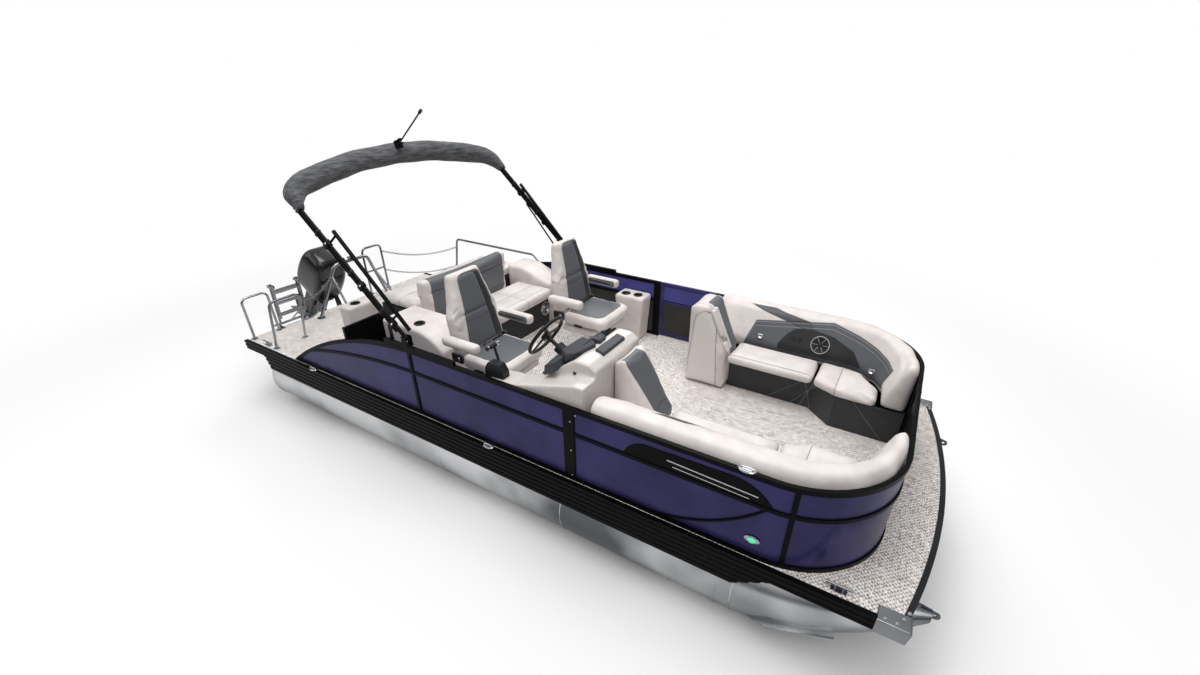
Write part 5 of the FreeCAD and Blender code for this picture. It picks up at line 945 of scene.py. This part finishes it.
def makeCups():
    rims = bmesh.new()
    tree = surfaceOf(nodes["seat_pods"].data)
    far = cupPlan["probe"]
    for x, y in cupPlan["cups"]:
        tops = [tree.ray_cast(Vector((x + dx, y + dy, cupPlan["castFrom"])), Vector((0, 0, -1)))[0]
                for dx, dy in ((far, 0), (-far, 0), (0, far), (0, -far))]
        level = [hit.z for hit in tops if hit is not None]
        tilt = [(two.z - one.z) / (2 * far) if one and two else 0.0 for one, two in (tops[:2], tops[2:])]
        addTurned(rims, at((x, y, sum(level) / len(level)), (*tilt, 1.0)), cupPlan["profile"], 36)
    addPiece("cupRims", rims, blackPlastic, "seat_pods")


makeCups()
print("cup wells made")


# Console and pods: the moulded shells with their edges eased

shellPlan = {"helm_console": (0.0135, 3), "seat_pods": (0.0145, 3)}


def makeShells():
    for node, (voxel, smoothing) in shellPlan.items():
        bm = remeshed(node, voxel, smoothing)
        standIn(meshObject(node + "Shell", bm, materials[slotOf[node]], bodyOf[node]), node)


makeShells()
print("shells made")


# Helm: faceted hoods over the instruments, a screen with its bezel, dials, switches and the throttle's bright cap

helmPlan = {
    "slopeFoot": (3.96, 0, 1.39), "slopeHead": (4.29, 0, 1.63),
    "hoods": [[(4.085, -0.895, 1.6), (4.1, -0.65, 1.6), (4.255, -0.735, 1.648), (4.31, -0.795, 1.662),
               (4.252, -0.968, 1.648), (4.185, -0.985, 1.63)],
              [(4.225, -0.715, 1.648), (4.235, -0.6, 1.648), (4.305, -0.64, 1.66), (4.312, -0.735, 1.662)],
              [(4.34, -0.84, 1.65), (4.345, -0.545, 1.65), (4.42, -0.56, 1.644), (4.42, -0.86, 1.644)],
              [(4.06, -1.08, 1.545), (4.07, -0.925, 1.57), (4.165, -1.000, 1.612), (4.15, -1.085, 1.595)]],
    "sink": 0.075, "flare": 1.12, "hoodBevel": 0.005, "hoodAngle": 12.0,
    "screen": (0.23, -0.605, 0.036), "bezel": ((0.168, 0.248, 0.012), 0.004),
    "glass": ((0.15, 0.23, 0.01), 0.002), "glassLift": 0.004,
    "dials": [(0.15, -0.745), (0.15, -0.85), (0.235, -0.8)], "dialLift": 0.046,
    "dialRim": [(0.036, -0.004), (0.041, -0.004), (0.041, 0.006), (0.037, 0.008), (0.036, 0.004), (0.036, -0.004)],
    "dialGlass": [(0, -0.004), (0.036, -0.004), (0.036, 0.004), (0, 0.005)],
    "switches": [0.075, 0.11, 0.145, 0.18], "switchY": -0.93, "switchLift": 0.022,
    "switch": ((0.022, 0.04, 0.014), 0.003),
    "button": (4.297, -1.042, 1.54), "buttonFacing": (0, -0.5, 0.87),
    "buttonShape": [(0, 0.004), (0.012, 0.004), (0.016, -0.004), (0, -0.004)],
    "throttle": (3.615, -1.109, 1.595), "throttleHalf": 0.052,
    "throttleCap": [(0, -0.004), (0.0175, -0.004), (0.0175, 0.004), (0.012, 0.007), (0, 0.008)],
}


def makeHoods():
    plan = helmPlan
    bm = bmesh.new()
    for outline in plan["hoods"]:
        points = [Vector(p) for p in outline]
        middle = sum(points, Vector()) / len(points)
        top = [bm.verts.new(p) for p in points]
        low = [bm.verts.new(middle + (p - middle) * plan["flare"] - Vector((0, 0, plan["sink"]))) for p in points]
        bm.faces.new(top)
        bm.faces.new(list(reversed(low)))
        sides = [bm.faces.new((top[k - 1], low[k - 1], low[k], top[k])) for k in range(len(top))]
        rim = [edge for edge in {e for face in sides for e in face.edges}
               if edge.verts[0] in top or edge.verts[1] in top]
        bmesh.ops.bevel(bm, geom=rim, offset=plan["hoodBevel"], segments=1, profile=0.5, affect="EDGES", material=-1)
    addPiece("dashHoods", bm, slatePlastic, "dash", plan["hoodAngle"])


def makeInstruments():
    plan = helmPlan
    foot, head = Vector(plan["slopeFoot"]), Vector(plan["slopeHead"])
    slope = (head - foot).normalized()
    out = Vector((-slope.z, 0, slope.x))

    def onSlope(d, y, lift):
        return at(foot + slope * d + out * lift + Vector((0, y, 0)), out, slope)

    bezel, glass = bmesh.new(), bmesh.new()
    spot = onSlope(*plan["screen"])
    addBox(bezel, spot, *plan["bezel"])
    addBox(glass, spot @ Matrix.Translation((0, 0, plan["glassLift"])), *plan["glass"])
    for d, y in plan["dials"]:
        spot = onSlope(d, y, plan["dialLift"])
        addTurned(bezel, spot, plan["dialRim"])
        addTurned(glass, spot, plan["dialGlass"])
    for d in plan["switches"]:
        addBox(bezel, onSlope(d, plan["switchY"], plan["switchLift"]), *plan["switch"])
    addTurned(bezel, at(plan["button"], plan["buttonFacing"]), plan["buttonShape"])
    addPiece("dashBezels", bezel, blackPlastic, "dash")
    addPiece("dashGlass", glass, screenGlass, "dash")
    bm = bmesh.new()
    for side in (-1, 1):
        place = Vector(plan["throttle"]) + Vector((0, side * plan["throttleHalf"], 0))
        addTurned(bm, at(place, (0, side, 0)), plan["throttleCap"])
    addPiece("throttleCaps", bm, silverTrim, "dash")


makeHoods()
makeInstruments()
print("helm made")


# Port tower: three small rolls down its inboard edge with a bright pull between them

towerPlan = {
    "face": (4.69, 1.55), "lean": 0.488,
    "rolls": [(0.53, 1.515, 1.285), (0.53, 1.232, 1.145), (0.586, 1.52, 1.15)],
    "rollLift": 0.004, "rollSize": (1.1, 0.058, 0.036), "rollBevel": 0.016, "rollFill": 0.6,
    "pull": (0.548, 1.255), "pullLift": 0.012, "pullRadius": 0.005,
    "pullPath": [(-0.02, 0, 0), (-0.016, 0, 0.014), (0.016, 0, 0.014), (0.02, 0, 0)],
}


def makeTower():
    plan = towerPlan
    slope = Vector((plan["lean"], 0, -1)).normalized()
    out = Vector((1, 0, plan["lean"])).normalized()
    x0, z0 = plan["face"]

    def onFace(y, z, lift):
        return at(Vector((x0 + (z0 - z) * plan["lean"], y, z)) + out * lift, out, slope)

    bm = bmesh.new()
    stretch, width, thick = plan["rollSize"]
    for y, high, low in plan["rolls"]:
        spot = onFace(y, (high + low) / 2, plan["rollLift"])
        addBox(bm, spot, ((high - low) * stretch, width, thick), plan["rollBevel"], 4)
    made = addPiece("towerRolls", bm, materials["seat_cream"], "lounge_tower", 60.0)
    bm = bmesh.new()
    spot = onFace(*plan["pull"], plan["pullLift"])
    addTube(bm, [spot @ Vector(p) for p in plan["pullPath"]], plan["pullRadius"])
    addPiece("towerPull", bm, silverTrim, "lounge_tower")


makeTower()
print("tower rolls made")


# Chairs: a cream pan under each seat, recliner housings and caps low on both flanks of the back, a lever

reclinerPlan = {
    "housing": (-0.175, 0.272, 1.262), "housingBox": ((0.12, 0.08, 0.03), 0.01),
    "cap": (-0.15, 0.288, 1.268),
    "capShape": [(0, 0.004), (0.014, 0.004), (0.017, 0.0), (0.017, -0.006), (0, -0.006)],
    "lever": (0.04, -0.262, 1.19), "leverBox": ((0.09, 0.014, 0.026), 0.005),
    "pan": (0.06, 0, 1.12), "panBox": ((0.45, 0.47, 0.072), 0.026, 4), "panFill": 0.6,
}


def makeChairParts(who, cx, cy):
    plan = reclinerPlan

    def beside(key, side=1):
        x, y, z = plan[key]
        return Vector((cx + x, cy + side * y, z))

    dark, bright, pan = bmesh.new(), bmesh.new(), bmesh.new()
    for side in (-1, 1):
        addBox(dark, at(beside("housing", side), (0, side, 0)), *plan["housingBox"])
        addTurned(bright, at(beside("cap", side), (0, side, 0)), plan["capShape"])
    addBox(dark, Matrix.Translation(beside("lever")), *plan["leverBox"])
    addBox(pan, Matrix.Translation(beside("pan")), *plan["panBox"])
    node = who + "_seat"
    made = addPiece(who + "SeatPan", pan, materials["seat_cream"], node, 60.0)
    addPiece(who + "Recliner", dark, blackPlastic, node)
    addPiece(who + "ReclinerCaps", bright, silverTrim, node)


for who, middle in chairs.items():
    makeChairParts(who, *middle)
print("chair parts made")


# Rear bench: two speakers in its front

rearPlan = {"speakers": [(2.603, 0.796, 0.958), (2.603, -0.2, 0.958)], "radius": 0.083}


def makeRear():
    cones, rings = bmesh.new(), bmesh.new()
    for place in rearPlan["speakers"]:
        addSpeaker(cones, rings, at(place, (1, 0, 0), (0, 1, 0)), rearPlan["radius"])
    addPiece("rearSpeakerCones", cones, materials["dash_black"], "rear_base")
    addPiece("rearSpeakerRings", rings, silverTrim, "rear_base")


makeRear()
print("rear pieces made")


# Canopy: the folded second bow beside each leg, straps round both, moulded knuckles and thumb screws

canopyPlan = {
    "pivot": (2.77, 0, 1.475), "angle": 42.0, "half": 1.215, "leg": (0.1, 1.47), "under": -0.036,
    "radius": 0.0145, "straps": [0.3, 0.7, 1.12, 1.4], "strap": ((0.028, 0.038, 0.072), 0.012, 3),
    "knuckles": [0.16, 0.56, 1.00], "knuckle": ((0.05, 0.042, 0.078), 0.008), "screwOut": 0.02,
    "screw": [(0, 0.007), (0.008, 0.007), (0.01, 0.003), (0.01, -0.002), (0, -0.002)],
}


def makeCanopy():
    plan = canopyPlan
    fall = math.radians(plan["angle"])
    along = Vector((-math.cos(fall), 0, math.sin(fall)))
    above = Vector((math.sin(fall), 0, math.cos(fall)))

    def onLeg(t, side, lift):
        return Vector(plan["pivot"]) + along * t + above * lift + Vector((0, side * plan["half"], 0))

    legs, bands, screws = bmesh.new(), bmesh.new(), bmesh.new()
    for side in (-1, 1):
        addTube(legs, [onLeg(t, side, plan["under"]) for t in plan["leg"]], plan["radius"], 16)
        for t in plan["straps"]:
            addBox(bands, at(onLeg(t, side, plan["under"] / 2), above, along), *plan["strap"])
        for t in plan["knuckles"]:
            addBox(legs, at(onLeg(t, side, plan["under"] / 2), above, along), *plan["knuckle"])
            place = onLeg(t, side, 0) + Vector((0, side * plan["screwOut"], 0))
            addTurned(screws, at(place, (0, side, 0)), plan["screw"], 16)
    addPiece("canopySecondLegs", legs, materials["black_frame"], "bimini_frame")
    addPiece("canopyStraps", bands, webbing, "bimini_frame")
    addPiece("canopyScrews", screws, silverTrim, "bimini_frame")


makeCanopy()
print("canopy pieces made")


# Hull: weld beads round the outer tubes, bolts through the bow castings

hullPlan = {
    "welds": [4.255, 5.637], "centres": [(-0.94, 0.3235), (0.94, 0.3235)],
    "bead": [(0.315, -0.006), (0.3205, -0.004), (0.3218, 0.0), (0.3205, 0.004), (0.315, 0.006), (0.315, -0.006)],
    "bolts": [(6.47, 1.262), (6.53, 1.262), (6.56, 1.215), (6.585, 1.16)], "boltZ": 0.7565,
    "bolt": [(0, 0.008), (0.009, 0.006), (0.013, 0.0), (0.013, -0.003), (0, -0.003)],
}


def makeHull():
    plan = hullPlan
    beads, bolts = bmesh.new(), bmesh.new()
    for x in plan["welds"]:
        for y, z in plan["centres"]:
            addTurned(beads, at((x, y, z), (1, 0, 0), (0, 1, 0)), plan["bead"], 72)
    for side in (-1, 1):
        for x, y in plan["bolts"]:
            addTurned(bolts, at((x, side * y, plan["boltZ"])), plan["bolt"], 18)
    addPiece("weldBeads", beads, materials["cast_silver"], "tube_starboard")
    addPiece("castingBolts", bolts, silverTrim, "deck_fittings")


makeHull()
print("hull pieces made")
